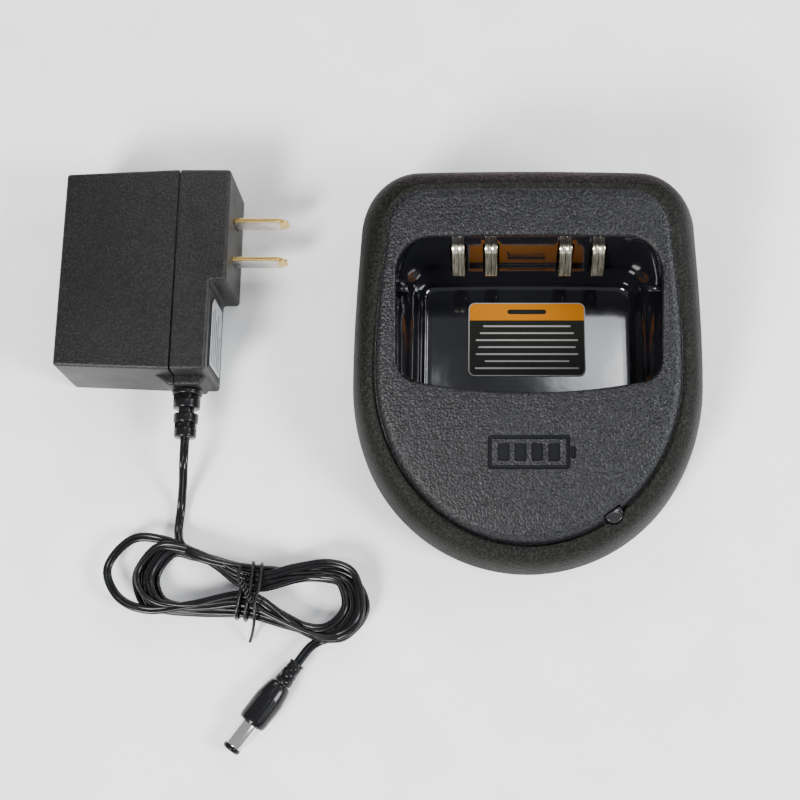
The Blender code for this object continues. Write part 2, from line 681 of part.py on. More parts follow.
def make_front_case(adapter):
    split = CASE_SPLIT_X + GAP / 2
    mesh = prism(front_outline(split, 0.0), 0.0, CASE_THICKNESS)
    round_edges(mesh, CASE_EDGE, 3, lambda edge: all(vert.co.x < (split + 0.1) * MM for vert in edge.verts))
    case = make_object("adapter_front_case", mesh, adapter, ((0.018, 0.018, 0.018), 0.6, 0.0), smooth=35)
    add_cutter(case, boss_half(split, BOSS_BASE[1]), adapter, "front_boss", "UNION")
    cavity = prism(front_outline(CASE_SPLIT_X - 2, CASE_WALL), CASE_WALL, CASE_THICKNESS - CASE_WALL)
    add_cutter(case, cavity, adapter, "front_cavity")
    for index, y in enumerate(blade_positions()):
        add_cutter(case, blade_box(y, GAP, 44.0, 60.0), adapter, f"case_slot_{index}")
    return case


def blade_positions():
    return [BLADE_CENTRE_Y - BLADE_SPACING / 2, BLADE_CENTRE_Y + BLADE_SPACING / 2]


def blade_box(y, clearance, low_x, high_x):
    """Box around a blade's section; clearance widens it."""
    middle = CASE_THICKNESS / 2
    half_y = BLADE_THICKNESS / 2 + clearance
    half_z = BLADE_WIDTH / 2 + clearance
    return box_mesh((low_x, y - half_y, middle - half_z), (high_x, y + half_y, middle + half_z))


def make_blades(adapter):
    """Two flat mains blades with chamfered tips."""
    tip = CASE_LENGTH + BLADE_LENGTH
    middle = CASE_THICKNESS / 2
    half = BLADE_WIDTH / 2
    for name, y in zip(("blade_lower", "blade_upper"), blade_positions()):
        rings = []
        for x, thin, narrow in ((BLADE_ROOT_X, 0.0, 0.0), (tip - 2.4, 0.0, 0.0), (tip, 0.4, 1.2)):
            half_y = BLADE_THICKNESS / 2 - thin
            half_z = half - narrow
            rings.append([(x, y - half_y, middle - half_z), (x, y + half_y, middle - half_z),
                          (x, y + half_y, middle + half_z), (x, y - half_y, middle + half_z)])
        make_object(name, loft(rings), adapter, ((0.72, 0.58, 0.3), 0.28, 1.0))


def make_blade_carrier(adapter):
    middle = CASE_THICKNESS / 2
    low_x = CASE_LENGTH - CASE_WALL - GAP - 3.0
    block = box_mesh((low_x, 1.0, middle - 7.0), (low_x + 3.0, 24.0, middle + 7.0))
    carrier = make_object("blade_carrier", block, adapter, ((0.3, 0.28, 0.24), 0.5, 0.0))
    for index, y in enumerate(blade_positions()):
        add_cutter(carrier, blade_box(y, GAP, low_x - 1, low_x + 4), adapter, f"carrier_slot_{index}")
    return carrier


def make_adapter_insides(adapter):
    """Circuit board of the switching supply and the parts that stand on it."""
    board_z = 4.4
    top = board_z + 1.6 + GAP
    make_object("adapter_board", box_mesh((4.5, -27.5, board_z), (40.0, 27.5, board_z + 1.6)), adapter,
                ((0.35, 0.25, 0.1), 0.5, 0.0))
    core = box_mesh((13, -11, top), (31, 5, top + 14))
    item = make_object("transformer_core", core, adapter, ((0.08, 0.08, 0.08), 0.5, 0.0))
    window = box_mesh((10, -8.0, top + 3), (34, 2.0, top + 11))
    add_cutter(item, window, adapter, "core_window")
    winding = box_mesh((11.5, -8.0 + GAP, top + 3 + GAP), (32.5, 2.0 - GAP, top + 11 - GAP), 1.0, 2)
    make_object("transformer_winding", winding, adapter, ((0.7, 0.55, 0.05), 0.4, 0.0))
    can = turned([(4.8, 0.0), (5.0, 0.5), (5.0, 15.5), (4.8, 16.0)], 20)
    make_object("input_capacitor", can, adapter, ((0.03, 0.03, 0.05), 0.35, 0.1), (14, 18, top), smooth=40)
    small = turned([(3.8, 0.0), (4.0, 0.4), (4.0, 11.6), (3.8, 12.0)], 18)
    make_object("output_capacitor", small, adapter, ((0.04, 0.05, 0.12), 0.35, 0.1),
                (15, -21, top), smooth=40)
    bridge = box_mesh((27, 14, top), (31, 24, top + 8), 0.4, 1)
    make_object("bridge_rectifier", bridge, adapter, ((0.02, 0.02, 0.02), 0.4, 0.0))
    switch = box_mesh((27, -24, top), (31.5, -15, top + 12), 0.4, 1)
    make_object("switching_transistor", switch, adapter, ((0.03, 0.03, 0.03), 0.4, 0.0))


def make_adapter_label(adapter):
    """Plain rating plate on the recessed part of the blade face."""
    x = CASE_STEP_X + GAP
    mesh = box_mesh((x, -29.5, 4.5), (x + LABEL_THICKNESS, -7.0, 21.5))
    make_object("adapter_label", mesh, adapter, ((0.35, 0.35, 0.36), 0.4, 0.0))


def relief_profile(length, start, end, rings, collar):
    """Radii of a ribbed strain relief that tapers from start to end."""
    profile = [(start + 0.2, 0.0), (start + 0.2, collar), (start * 0.72, collar)]
    pitch = (length - collar) / rings
    for ring in range(rings):
        low = collar + pitch * ring
        radius = start + (end - start) * (ring + 0.5) / rings
        profile.append((radius * 0.72, low + pitch * 0.28))
        profile.append((radius, low + pitch * 0.4))
        profile.append((radius, low + pitch * 0.9))
        if ring < rings - 1:
            profile.append((radius * 0.72, low + pitch))
    profile.append((end * 0.8, length))
    return profile


def point_towards(item, start, direction):
    """Place an object whose length runs along +Z so that it runs along direction."""
    turn = Vector((0, 0, 1)).rotation_difference(Vector(direction).normalized())
    item.rotation_mode = "QUATERNION"
    item.rotation_quaternion = turn
    item.location = [value * MM for value in start]


def make_strain_relief(adapter):
    mesh = turned(relief_profile(RELIEF_LENGTH, 4.3, 3.0, 3, 1.6), 20)
    item = make_object("adapter_strain_relief", mesh, adapter, ((0.015, 0.015, 0.015), 0.5, 0.0), smooth=40)
    point_towards(item, (RELIEF_X, -CASE_HALF_Y - BOSS_DEPTH - GAP, CASE_THICKNESS / 2), (0, -1, 0))


def smooth_points(route, spacing):
    """Points at about equal spacing along a Catmull-Rom curve through the route's points."""
    padded = [route[0] * 2 - route[1]] + route + [route[-1] * 2 - route[-2]]
    dense = []
    for index in range(1, len(padded) - 2):
        before, start, end, after = padded[index - 1:index + 3]
        for step in range(24):
            t = step / 24
            dense.append(0.5 * (2 * start + (end - before) * t
                                + (2 * before - 5 * start + 4 * end - after) * t ** 2
                                + (3 * start - before - 3 * end + after) * t ** 3))
    dense.append(route[-1])
    lengths = [0.0]
    for first, second in zip(dense, dense[1:]):
        lengths.append(lengths[-1] + (second - first).length)
    count = max(2, round(lengths[-1] / spacing))
    points, place = [], 0
    for step in range(count + 1):
        target = lengths[-1] * step / count
        while place < len(lengths) - 2 and lengths[place + 1] < target:
            place += 1
        part = (target - lengths[place]) / (lengths[place + 1] - lengths[place])
        points.append(tuple(dense[place].lerp(dense[place + 1], min(part, 1.0))))
    return points


def make_tube(name, points, radius, resolution, parent, finish):
    """Round tube along a line of points, with filled ends."""
    curve = bpy.data.curves.new(name, "CURVE")
    curve.dimensions = "3D"
    spline = curve.splines.new("POLY")
    spline.points.add(len(points) - 1)
    for target, point in zip(spline.points, points):
        target.co = (*(value * MM for value in point), 1.0)
    curve.bevel_depth = radius * MM
    curve.bevel_resolution = resolution
    curve.use_fill_caps = True
    curve.materials.append(make_material(name, *finish))
    item = bpy.data.objects.new(name, curve)
    bpy.context.scene.collection.objects.link(item)
    item.parent = parent
    return item


def hank_point(along, across):
    """Point on the table, in the hank's own directions, from its middle."""
    x = HANK_AT[0] + along * math.cos(HANK_TILT) - across * math.sin(HANK_TILT)
    y = HANK_AT[1] + along * math.sin(HANK_TILT) + across * math.cos(HANK_TILT)
    return x, y


def hank_outline():
    """Folded lead from above: two round-ended bundles drawn in to a waist at the tie."""
    points = []
    steps = 28
    for step in range(steps):
        angle = math.pi / 2 - 2 * math.pi * step / steps
        along = math.cos(angle)
        reach = math.copysign(abs(along) ** 0.7, along) if abs(along) > 1e-9 else 0.0
        widening = (HANK_WIDTH - HANK_WAIST) / 2 * min(1.0, abs(reach) * 1.8)
        across = (HANK_WAIST / 2 + widening) * math.sin(angle)
        points.append(hank_point(HANK_LENGTH / 2 * reach, across))
    return points


def make_cords(cords):
    """Free lead: the stretch to the hank, the hank itself and the tail to the plug."""
    black = ((0.012, 0.012, 0.012), 0.4, 0.0)
    start = Vector((ADAPTER_AT[0] + RELIEF_X,
                    ADAPTER_AT[1] - CASE_HALF_Y - BOSS_DEPTH - RELIEF_LENGTH - 2 * GAP,
                    CASE_THICKNESS / 2))
    lead = [start + Vector(step) for step in LEAD_STEPS]
    points = smooth_points(lead, CORD_RADIUS * 4.4)
    make_tube("cord_lead", points, CORD_RADIUS, 2, cords, black)
    hank = prism(hank_outline(), HANK_LOW_Z, HANK_HEIGHT)
    make_object("cord_hank", hank, cords, black)
    tail = [Vector(point) for point in TAIL_POINTS]
    tail.append(Vector((*PLUG_START, PLUG_RADIUS)) - Vector((*PLUG_DIRECTION, 0)) * GAP)
    make_tube("cord_tail", smooth_points(tail, 1.6), CORD_RADIUS, 2, cords, black)


def make_twist_tie(cords):
    """Wire tie round the waist of the hank: a thin closed band."""
    inner_y = HANK_WAIST + 1.8
    inner_z = HANK_HEIGHT - HANK_LOW_Z + 2 * GAP
    middle_z = (HANK_HEIGHT + HANK_LOW_Z) / 2
    rings = []
    half = TIE_WIDTH / 2
    for extra, x in ((0.0, -half), (0.0, half), (0.8, half), (0.8, -half)):
        outline = rounded_rectangle(inner_y + 2 * extra, inner_z + 2 * extra, 0.4 + extra, 4)
        rings.append([(x, y, z + middle_z) for y, z in outline])
    tie = make_object("twist_tie", loft(rings, closed_round=True), cords, ((0.01, 0.01, 0.01), 0.4, 0.0),
                      (*HANK_AT, 0))
    tie.rotation_euler[2] = HANK_TILT
    return tie


def make_plug(cords):
    """Barrel plug on the lead's end, lying on the table."""
    direction = Vector((*PLUG_DIRECTION, 0)).normalized()
    start = Vector((*PLUG_START, PLUG_RADIUS))
    black = ((0.012, 0.012, 0.012), 0.4, 0.0)
    narrow_first = relief_profile(PLUG_RELIEF_LENGTH, 2.9, 2.2, 3, 0.8)
    relief = [(radius, PLUG_RELIEF_LENGTH - height) for radius, height in reversed(narrow_first)]
    grip = [(3.2, 0.0), (3.7, 1.0), (4.2, 4.4), (PLUG_RADIUS, 5.8), (PLUG_RADIUS, PLUG_GRIP_LENGTH - 0.6),
            (PLUG_RADIUS - 0.5, PLUG_GRIP_LENGTH)]
    barrel = [(BARREL_RADIUS, 0.0), (BARREL_RADIUS, BARREL_LENGTH)]
    ring = [(BARREL_RADIUS, 0.0), (BARREL_RADIUS, RING_LENGTH - 0.4), (BARREL_RADIUS - 0.4, RING_LENGTH)]
    pieces = (("plug_strain_relief", relief, black, 16), ("plug_grip", grip, black, 24),
              ("plug_barrel", barrel, ((0.7, 0.7, 0.7), 0.2, 1.0), 24), ("plug_insulator", ring, black, 24))
    place = 0.0
    for name, profile, finish, segments in pieces:
        item = make_object(name, turned(profile, segments), cords, finish, smooth=40)
        point_towards(item, start + direction * place, direction)
        place += profile[-1][1] + GAP


def main():
    clear_scene()
    shift_x, shift_y = centre_shift()
    table = make_empty("set_origin", (shift_x, shift_y, 0))
    cradle = make_empty("cradle_origin", (*CRADLE_AT, 0), table)
    adapter = make_empty("adapter_origin", (ADAPTER_AT[0], ADAPTER_AT[1], 0), table)
    make_upper_housing(cradle)
    make_pocket_liner(cradle)
    make_contact_springs(cradle)
    make_contact_carrier(cradle)
    make_base_plate(cradle)
    make_feet(cradle)
    make_screws(cradle)
    make_boards(cradle)
    make_jack(cradle)
    make_indicator(cradle)
    make_board_wires(cradle)
    make_labels(cradle)
    make_rear_case(adapter)
    make_front_case(adapter)
    make_blades(adapter)
    make_blade_carrier(adapter)
    make_adapter_insides(adapter)
    make_adapter_label(adapter)
    make_strain_relief(adapter)
    make_cords(table)
    make_twist_tie(table)
    make_plug(table)


main()
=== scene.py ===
import math

import bmesh
import bpy
from mathutils import Matrix, Vector


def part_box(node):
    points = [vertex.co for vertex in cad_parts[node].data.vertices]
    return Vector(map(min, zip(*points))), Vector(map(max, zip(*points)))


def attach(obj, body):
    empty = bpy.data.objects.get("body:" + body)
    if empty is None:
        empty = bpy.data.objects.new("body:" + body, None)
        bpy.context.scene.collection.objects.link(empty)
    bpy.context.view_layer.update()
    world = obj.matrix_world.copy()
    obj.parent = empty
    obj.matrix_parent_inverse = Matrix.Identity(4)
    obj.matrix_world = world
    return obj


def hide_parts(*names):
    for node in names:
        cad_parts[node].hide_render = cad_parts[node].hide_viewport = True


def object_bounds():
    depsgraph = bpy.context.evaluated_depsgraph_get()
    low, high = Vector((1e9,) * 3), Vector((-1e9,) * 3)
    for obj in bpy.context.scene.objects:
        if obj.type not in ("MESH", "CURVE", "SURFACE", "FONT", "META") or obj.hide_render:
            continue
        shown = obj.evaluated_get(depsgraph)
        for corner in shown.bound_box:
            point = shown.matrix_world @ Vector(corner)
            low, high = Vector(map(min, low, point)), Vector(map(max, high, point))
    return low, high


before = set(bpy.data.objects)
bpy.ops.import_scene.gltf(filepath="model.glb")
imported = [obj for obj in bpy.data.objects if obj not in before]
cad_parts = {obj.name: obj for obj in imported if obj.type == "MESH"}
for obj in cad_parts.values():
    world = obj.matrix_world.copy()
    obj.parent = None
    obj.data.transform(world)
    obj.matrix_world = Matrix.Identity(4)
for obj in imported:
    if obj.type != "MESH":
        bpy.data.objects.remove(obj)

cad_low, cad_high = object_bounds()

# Sizes are in millimetres and are turned into metres where meshes are made.
MM = 0.001


def node_box(name):
    """Lowest and highest corner of a CAD node, in millimetres."""
    low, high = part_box(name)
    return Vector(low) / MM, Vector(high) / MM


# ---------------------------------------------------------------- camera, light, floor
SET_SHIFT = Vector((4.6, -5.75, 0.0))         # centres the whole set on the origin, as in the CAD script
CAMERA_ELEVATION = math.radians(75)
CAMERA_DISTANCE = 460.0
CAMERA_LENS = 66.3
CAMERA_X = 33.85
SENSOR_WIDTH = 36.0
FRAME_WIDTH = CAMERA_DISTANCE * SENSOR_WIDTH / CAMERA_LENS
FLOOR_REACH = 2.0                             # metres from the middle to each edge of the floor


def add_object(name, data):
    item = bpy.data.objects.new(name, data)
    bpy.context.scene.collection.objects.link(item)
    return item


def look_at(item, target):
    item.rotation_mode = "QUATERNION"
    item.rotation_quaternion = (target - item.location).to_track_quat("-Z", "Y")


def make_camera():
    """Camera straight in front of the cradle's middle, looking down, with the frame shifted to the set."""
    camera = add_object("camera", bpy.data.cameras.new("camera"))
    camera.data.lens = CAMERA_LENS
    camera.data.sensor_width = SENSOR_WIDTH
    camera.data.clip_start = 0.01
    camera.data.shift_x = (SET_SHIFT.x - CAMERA_X) / FRAME_WIDTH
    target = Vector((CAMERA_X, SET_SHIFT.y, 0.0)) * MM
    back = Vector((0.0, -CAMERA_DISTANCE * math.cos(CAMERA_ELEVATION),
                   CAMERA_DISTANCE * math.sin(CAMERA_ELEVATION))) * MM
    camera.location = target + back
    look_at(camera, target)
    bpy.context.scene.camera = camera


def make_light(name, location, target, size, energy, colour=(1.0, 1.0, 1.0)):
    data = bpy.data.lights.new(name, "AREA")
    data.shape = "RECTANGLE"
    data.size, data.size_y = size
    data.energy = energy
    data.color = colour
    light = add_object(name, data)
    light.location = location
    look_at(light, Vector(target))


def make_stage():
    """Plain floor under three soft lamps, with four small lamps whose light the glossy pocket mirrors."""
    world = bpy.data.worlds.new("studio")
    bpy.context.scene.world = world
    world.use_nodes = True
    background = world.node_tree.nodes["Background"]
    background.inputs["Color"].default_value = (0.93, 0.95, 1.0, 1.0)
    background.inputs["Strength"].default_value = 0.52
    make_light("key", (-0.5, -0.75, 0.8), (0.0, 0.0, 0.0), (0.35, 0.35), 24.0, (1.0, 0.99, 0.97))
    make_light("fill", (0.85, -0.35, 0.7), (0.02, -0.01, 0.0), (0.35, 0.35), 17.0, (0.96, 0.98, 1.0))
    make_light("back", (0.1, 1.0, 0.7), (0.02, 0.0, 0.0), (0.7, 0.2), 7.0)
    pocket = (0.044, 0.008, 0.01)
    make_light("pocket_sheen", (0.117, 0.215, 0.70), pocket, (0.06, 0.075), 0.17, (0.9, 0.94, 1.0))
    make_light("pocket_strip", (0.152, 0.215, 0.70), pocket, (0.014, 0.09), 0.2)
    make_light("pocket_side", (0.62, 0.28, 0.5), pocket, (0.18, 0.12), 1.6)
    make_light("pocket_left", (-0.05, 0.19, 0.70), pocket, (0.06, 0.05), 0.07, (0.9, 0.94, 1.0))
    floor_mesh = bpy.data.meshes.new("floor")
    corners = [(x * FLOOR_REACH, y * FLOOR_REACH, 0) for x, y in ((-1, -1), (1, -1), (1, 1), (-1, 1))]
    floor_mesh.from_pydata(corners, [], [(0, 1, 2, 3)])
    floor = add_object("floor", floor_mesh)
    floor.location.z = cad_low[2] - 0.0001
    floor_mesh.materials.append(FINISH["paper"])


# ---------------------------------------------------------------- materials
FINISH = {}
BLOTCH_SIZE = 22.0              # size of the broad uneven patches in every finish


def feed(material, node, inputs):
    """Give a node's inputs plain values, or link them to other nodes' outputs."""
    for key, value in inputs.items():
        if isinstance(value, bpy.types.NodeSocket):
            material.node_tree.links.new(value, node.inputs[key])
        else:
            node.inputs[key].default_value = value


def add_node(material, kind, inputs):
    node = material.node_tree.nodes.new("ShaderNode" + kind)
    feed(material, node, inputs)
    return node


def noise(material, vector, size, detail, roughness=0.5):
    """Factor of a noise whose features are size millimetres across."""
    inputs = {"Vector": vector, "Scale": 1.0 / (size * MM), "Detail": detail, "Roughness": roughness}
    return add_node(material, "TexNoise", inputs).outputs["Fac"]


def mapped(material, value, start, end, low=0.0, high=1.0):
    inputs = {"Value": value, "From Min": start, "From Max": end, "To Min": low, "To Max": high}
    return add_node(material, "MapRange", inputs).outputs["Result"]


def ramp(material, value, start, end, low, high):
    node = add_node(material, "ValToRGB", {"Fac": value})
    for element, place, colour in zip(node.color_ramp.elements, (start, end), (low, high)):
        element.position = place
        element.color = (*colour, 1)
    return node.outputs["Color"]


def mixed(material, base, other, factor, blend="MIX"):
    """Mix a colour with a second one; the mix node tells its colour sockets apart by number."""
    node = material.node_tree.nodes.new("ShaderNodeMix")
    node.data_type = "RGBA"
    node.blend_type = blend
    feed(material, node, {0: factor, 6: base, 7: other})
    return node.outputs[2]


def pebbled(material, fine, vector, grain):
    """Blend a noise with rounded cells, as on a textured moulding."""
    cell = material.node_tree.nodes.new("ShaderNodeTexVoronoi")
    cell.feature = "SMOOTH_F1"
    feed(material, cell, {"Vector": vector, "Scale": 0.8 / (grain * MM), "Smoothness": 0.6})
    return add_node(material, "Mix", {0: 0.5, 2: fine, 3: cell.outputs["Distance"]}).outputs[0]


def surface(key, name, colour, roughness, metallic=0.0, grain=0.5, depth=0.04, contrast=0.2, blotch=0.06,
            rough_spread=0.06, cells=False, stretch=(1.0, 1.0, 1.0), specular=0.5, wear=0.0, painted_sheen=None):
    """Procedural finish, kept under its key: grain, in millimetres, drives colour and relief.

    Broad patches vary tone and roughness, wear brightens raised edges, and painted_sheen paints a
    highlight in, tinting the colour between two distances along Y.
    """
    material = bpy.data.materials.new(name)
    material.use_nodes = True
    place = add_node(material, "TexCoord", {}).outputs["Object"]
    vector = add_node(material, "Mapping", {"Vector": place, "Scale": stretch}).outputs["Vector"]
    height = noise(material, vector, grain, 2.5, 0.55)
    if cells:
        height = pebbled(material, height, vector, grain)
    broad = noise(material, place, BLOTCH_SIZE, 3.0)
    dark = [value * (1 - contrast) for value in colour]
    light = [min(1.0, value * (1 + contrast)) for value in colour]
    grained = ramp(material, height, 0.35, 0.68, dark, light)
    shade = ramp(material, broad, 0.3, 0.7, (1 - blotch,) * 3, (1, 1, 1))
    colour_out = mixed(material, grained, shade, 1.0, "MULTIPLY")
    # painted highlight: multiplies the colour by a bright tint that rises between two places along Y,
    # standing in for the sheen on the skirt's rounded back edge
    if painted_sheen:
        sheen_tint, start, end = painted_sheen
        along = add_node(material, "SeparateXYZ", {"Vector": place}).outputs["Y"]
        reach = mapped(material, along, start * MM, end * MM)
        colour_out = mixed(material, colour_out, (*sheen_tint, 1), reach, "MULTIPLY")
    if wear > 0:
        raised = add_node(material, "NewGeometry", {}).outputs["Pointiness"]
        edge = mapped(material, raised, 0.52, 0.62, 0.0, wear)
        worn = [min(1.0, value * 2.2 + 0.03) for value in colour]
        colour_out = mixed(material, colour_out, (*worn, 1), edge)
    smoothest, roughest = max(0.02, roughness - rough_spread), min(1.0, roughness + rough_spread)
    bump = add_node(material, "Bump", {"Strength": 1.0, "Distance": depth * MM, "Height": height})
    feed(material, material.node_tree.nodes["Principled BSDF"], {
        "Base Color": colour_out, "Metallic": metallic, "Specular IOR Level": specular,
        "Roughness": mapped(material, broad, 0.3, 0.7, smoothest, roughest),
        "Normal": bump.outputs["Normal"]})
    FINISH[key] = material


def make_finishes():
    """Make every finish and keep it under its short name."""
    surface("panel", "panel_grain", (0.0095, 0.0096, 0.0112), 0.4, grain=0.55, depth=0.36, contrast=1.0,
            cells=True, specular=0.24, blotch=0.1)
    # The skirt's last tint is a painted purple highlight on its rounded back band, brightening it towards the
    # back edge.
    surface("skirt", "skirt_grain", (0.0065, 0.0064, 0.0052), 0.6, grain=0.58, depth=0.34, contrast=1.0,
            specular=0.13, cells=True, painted_sheen=((3.6, 1.5, 2.6), 44.5, 50.5))
    surface("mark", "mark_recess", (0.0052, 0.0054, 0.007), 0.42, depth=0.03, specular=0.1)
    surface("liner", "liner_gloss", (0.004, 0.004, 0.006), 0.09, grain=6.0, depth=0.02, contrast=0.1,
            rough_spread=0.03, specular=0.6)
    surface("base", "base_grain", (0.04, 0.042, 0.046), 0.6, grain=0.4, depth=0.05, cells=True)
    surface("inner", "inner_plastic", (0.03, 0.03, 0.032), 0.45, grain=0.4, depth=0.03)
    surface("board", "board_mask", (0.02, 0.14, 0.06), 0.35, grain=1.2, depth=0.03, contrast=0.3)
    surface("tan_board", "board_tan", (0.36, 0.25, 0.11), 0.5, grain=1.2, depth=0.03, contrast=0.3)
    surface("nickel", "nickel_plate", (0.72, 0.71, 0.68), 0.2, 1.0, depth=0.006, contrast=0.08,
            stretch=(1, 1, 0.2))
    surface("ferrite", "ferrite_matt", (0.06, 0.06, 0.065), 0.6, grain=0.3, depth=0.05)
    surface("can", "can_sleeve", (0.06, 0.07, 0.18), 0.3, grain=0.8, depth=0.01)
    surface("lens", "smoked_lens", (0.014, 0.014, 0.015), 0.2, grain=0.8, depth=0.01, specular=0.4)
    surface("led", "led_epoxy", (0.6, 0.6, 0.58), 0.15, grain=0.8, depth=0.01)
    surface("red", "red_wire", (0.45, 0.02, 0.02), 0.4, grain=0.6, depth=0.01)
    surface("wire", "black_wire", (0.015, 0.015, 0.015), 0.4, grain=0.6, depth=0.01)
    surface("foot", "foot_rubber", (0.025, 0.025, 0.026), 0.85, grain=0.3, depth=0.06, cells=True)
    surface("screw", "screw_zinc", (0.5, 0.5, 0.48), 0.35, 1.0, grain=0.3, depth=0.01)
    surface("contact", "contact_plate", (0.84, 0.68, 0.50), 0.27, 0.9, depth=0.02, contrast=0.65,
            stretch=(1.6, 0.2, 0.08))
    surface("case", "case_texture", (0.007, 0.0068, 0.0062), 0.44, grain=0.46, depth=0.22, contrast=1.0,
            specular=0.3, cells=True, wear=0.1)
    surface("contact_edge", "contact_brown", (0.16, 0.085, 0.03), 0.35, 0.9, grain=0.3, depth=0.01,
            contrast=0.3)
    surface("brass", "blade_brass", (0.74, 0.50, 0.17), 0.25, 1.0, depth=0.01, contrast=0.15,
            stretch=(0.15, 1, 1))
    surface("silver", "blade_edge", (0.78, 0.76, 0.72), 0.3, 1.0, grain=0.4, depth=0.012,
            stretch=(0.15, 1, 1))
    surface("tape", "winding_tape", (0.7, 0.52, 0.06), 0.35, grain=1.0, depth=0.03)
    surface("pvc", "soft_pvc", (0.0045, 0.0045, 0.005), 0.26, depth=0.015, rough_spread=0.1, specular=0.27)
    surface("tie", "tie_plastic", (0.007, 0.007, 0.0075), 0.3, depth=0.01, specular=0.3)
    surface("orange", "label_orange", (0.37, 0.125, 0.001), 0.55, grain=0.6, depth=0.004, contrast=0.05,
            specular=0.12)
    surface("label", "label_dark", (0.007, 0.0075, 0.006), 0.45, grain=0.6, depth=0.004, contrast=0.12,
            specular=0.15)
    surface("ink", "label_ink", (0.24, 0.24, 0.23), 0.4, depth=0.003, contrast=0.1)
    surface("grey_label", "label_grey", (0.30, 0.31, 0.33), 0.35, grain=1.1, depth=0.006, contrast=0.16)
    surface("paper", "floor_paper", (0.96, 0.96, 0.96), 0.75, grain=3.0, depth=0.01, contrast=0.01)


# ---------------------------------------------------------------- mesh tools
def mesh_from(points, faces, name):
    mesh = bpy.data.meshes.new(name)
    mesh.from_pydata([[value * MM for value in point] for point in points], [], faces)
    shape = bmesh.new()
    shape.from_mesh(mesh)
    bmesh.ops.recalc_face_normals(shape, faces=shape.faces)
    shape.to_mesh(mesh)
    shape.free()
    return mesh


def make_piece(name, mesh, finishes, body, replaced, smooth):
    """Link a mesh as a piece that rides on a body and stands for CAD nodes; smooth is an angle or 0."""
    item = add_object(name, mesh)
    for finish in finishes:
        mesh.materials.append(FINISH[finish])
    if smooth:
        mesh.shade_smooth()
        mesh.set_sharp_from_angle(angle=math.radians(smooth))
    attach(item, body)
    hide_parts(*replaced)
    return item


def loft(rings, name, closed_round=False):
    """Skin rings of equal length, with end caps unless the rings close round on themselves."""
    count = len(rings[0])
    points = [point for ring in rings for point in ring]
    faces = []
    spans = len(rings) if closed_round else len(rings) - 1
    for row in range(spans):
        this_row, next_row = row * count, ((row + 1) % len(rings)) * count
        for step in range(count):
            after = (step + 1) % count
            faces.append((this_row + step, this_row + after, next_row + after, next_row + step))
    if not closed_round:
        faces.append(tuple(range(count)))
        faces.append(tuple(range((len(rings) - 1) * count, len(rings) * count)))
    return mesh_from(points, faces, name)


def prism(outline, low, high, name="prism"):
    return loft([[(x, y, level) for x, y in outline] for level in (low, high)], name)


def box_mesh(low, high, edge=0.0, segments=3):
    """Box between two corners, with its edges rounded."""
    outline = ((low[0], low[1]), (high[0], low[1]), (high[0], high[1]), (low[0], high[1]))
    mesh = prism(outline, low[2], high[2])
    if edge > 0:
        round_edges(mesh, edge, segments)
    return mesh


def round_edges(mesh, radius, segments, keep_sharp=None):
    """Round a mesh's edges, apart from those that keep_sharp picks."""
    shape = bmesh.new()
    shape.from_mesh(mesh)
    edges = [edge for edge in shape.edges if not (keep_sharp and keep_sharp(edge))]
    bmesh.ops.bevel(shape, geom=edges, offset=radius * MM, segments=segments, profile=0.5,
                    affect="EDGES", clamp_overlap=True)
    shape.to_mesh(mesh)
    shape.free()


def turned(profile, segments, name):
    """Solid of revolution about Z of (radius, height) pairs."""
    return loft([[(x, y, height) for x, y in circle(radius, segments)] for radius, height in profile], name)


def rounded(profile, radius, steps=3):
    """Profile with its inner corners rounded off."""
    result = [profile[0]]
    for before, corner, after in zip(profile, profile[1:], profile[2:]):
        corner_v = Vector(corner)
        to_before, to_after = Vector(before) - corner_v, Vector(after) - corner_v
        reach = min(radius, to_before.length * 0.45, to_after.length * 0.45)
        start = corner_v + to_before.normalized() * reach
        end = corner_v + to_after.normalized() * reach
        for step in range(steps + 1):
            t = step / steps
            point = start * (1 - t) ** 2 + corner_v * 2 * t * (1 - t) + end * t ** 2
            result.append(tuple(point))
    result.append(profile[-1])
    return result


def joined(meshes, name):
    """One mesh from several, each keeping its own material index."""
    shape = bmesh.new()
    for mesh in meshes:
        shape.from_mesh(mesh)
    whole = bpy.data.meshes.new(name)
    shape.to_mesh(whole)
    shape.free()
    return whole


def plate(outline, dx, dy, low, high, index=0):
    """Flat plate of one finish: an outline shifted to its place, between two heights."""
    return set_index(prism([(x + dx, y + dy) for x, y in outline], low, high), index)


def set_index(mesh, index):
    for polygon in mesh.polygons:
        polygon.material_index = index
    return mesh


def boolean(mesh, cutters):
    """Mesh after other meshes are cut from it."""
    base = add_object("boolean_base", mesh)
    helpers = []
    for cutter_mesh in cutters:
        helper = add_object("boolean_helper", cutter_mesh)
        modifier = base.modifiers.new("boolean", "BOOLEAN")
        modifier.operation = "DIFFERENCE"
        modifier.solver = "EXACT"
        modifier.material_mode = "TRANSFER"
        modifier.object = helper
        helpers.append(helper)
    bpy.context.view_layer.update()
    view = base.evaluated_get(bpy.context.evaluated_depsgraph_get())
    result = bpy.data.meshes.new_from_object(view)
    for item in helpers + [base]:
        bpy.data.objects.remove(item)
    return result


def moved(mesh, matrix):
    mesh.transform(matrix)
    return mesh


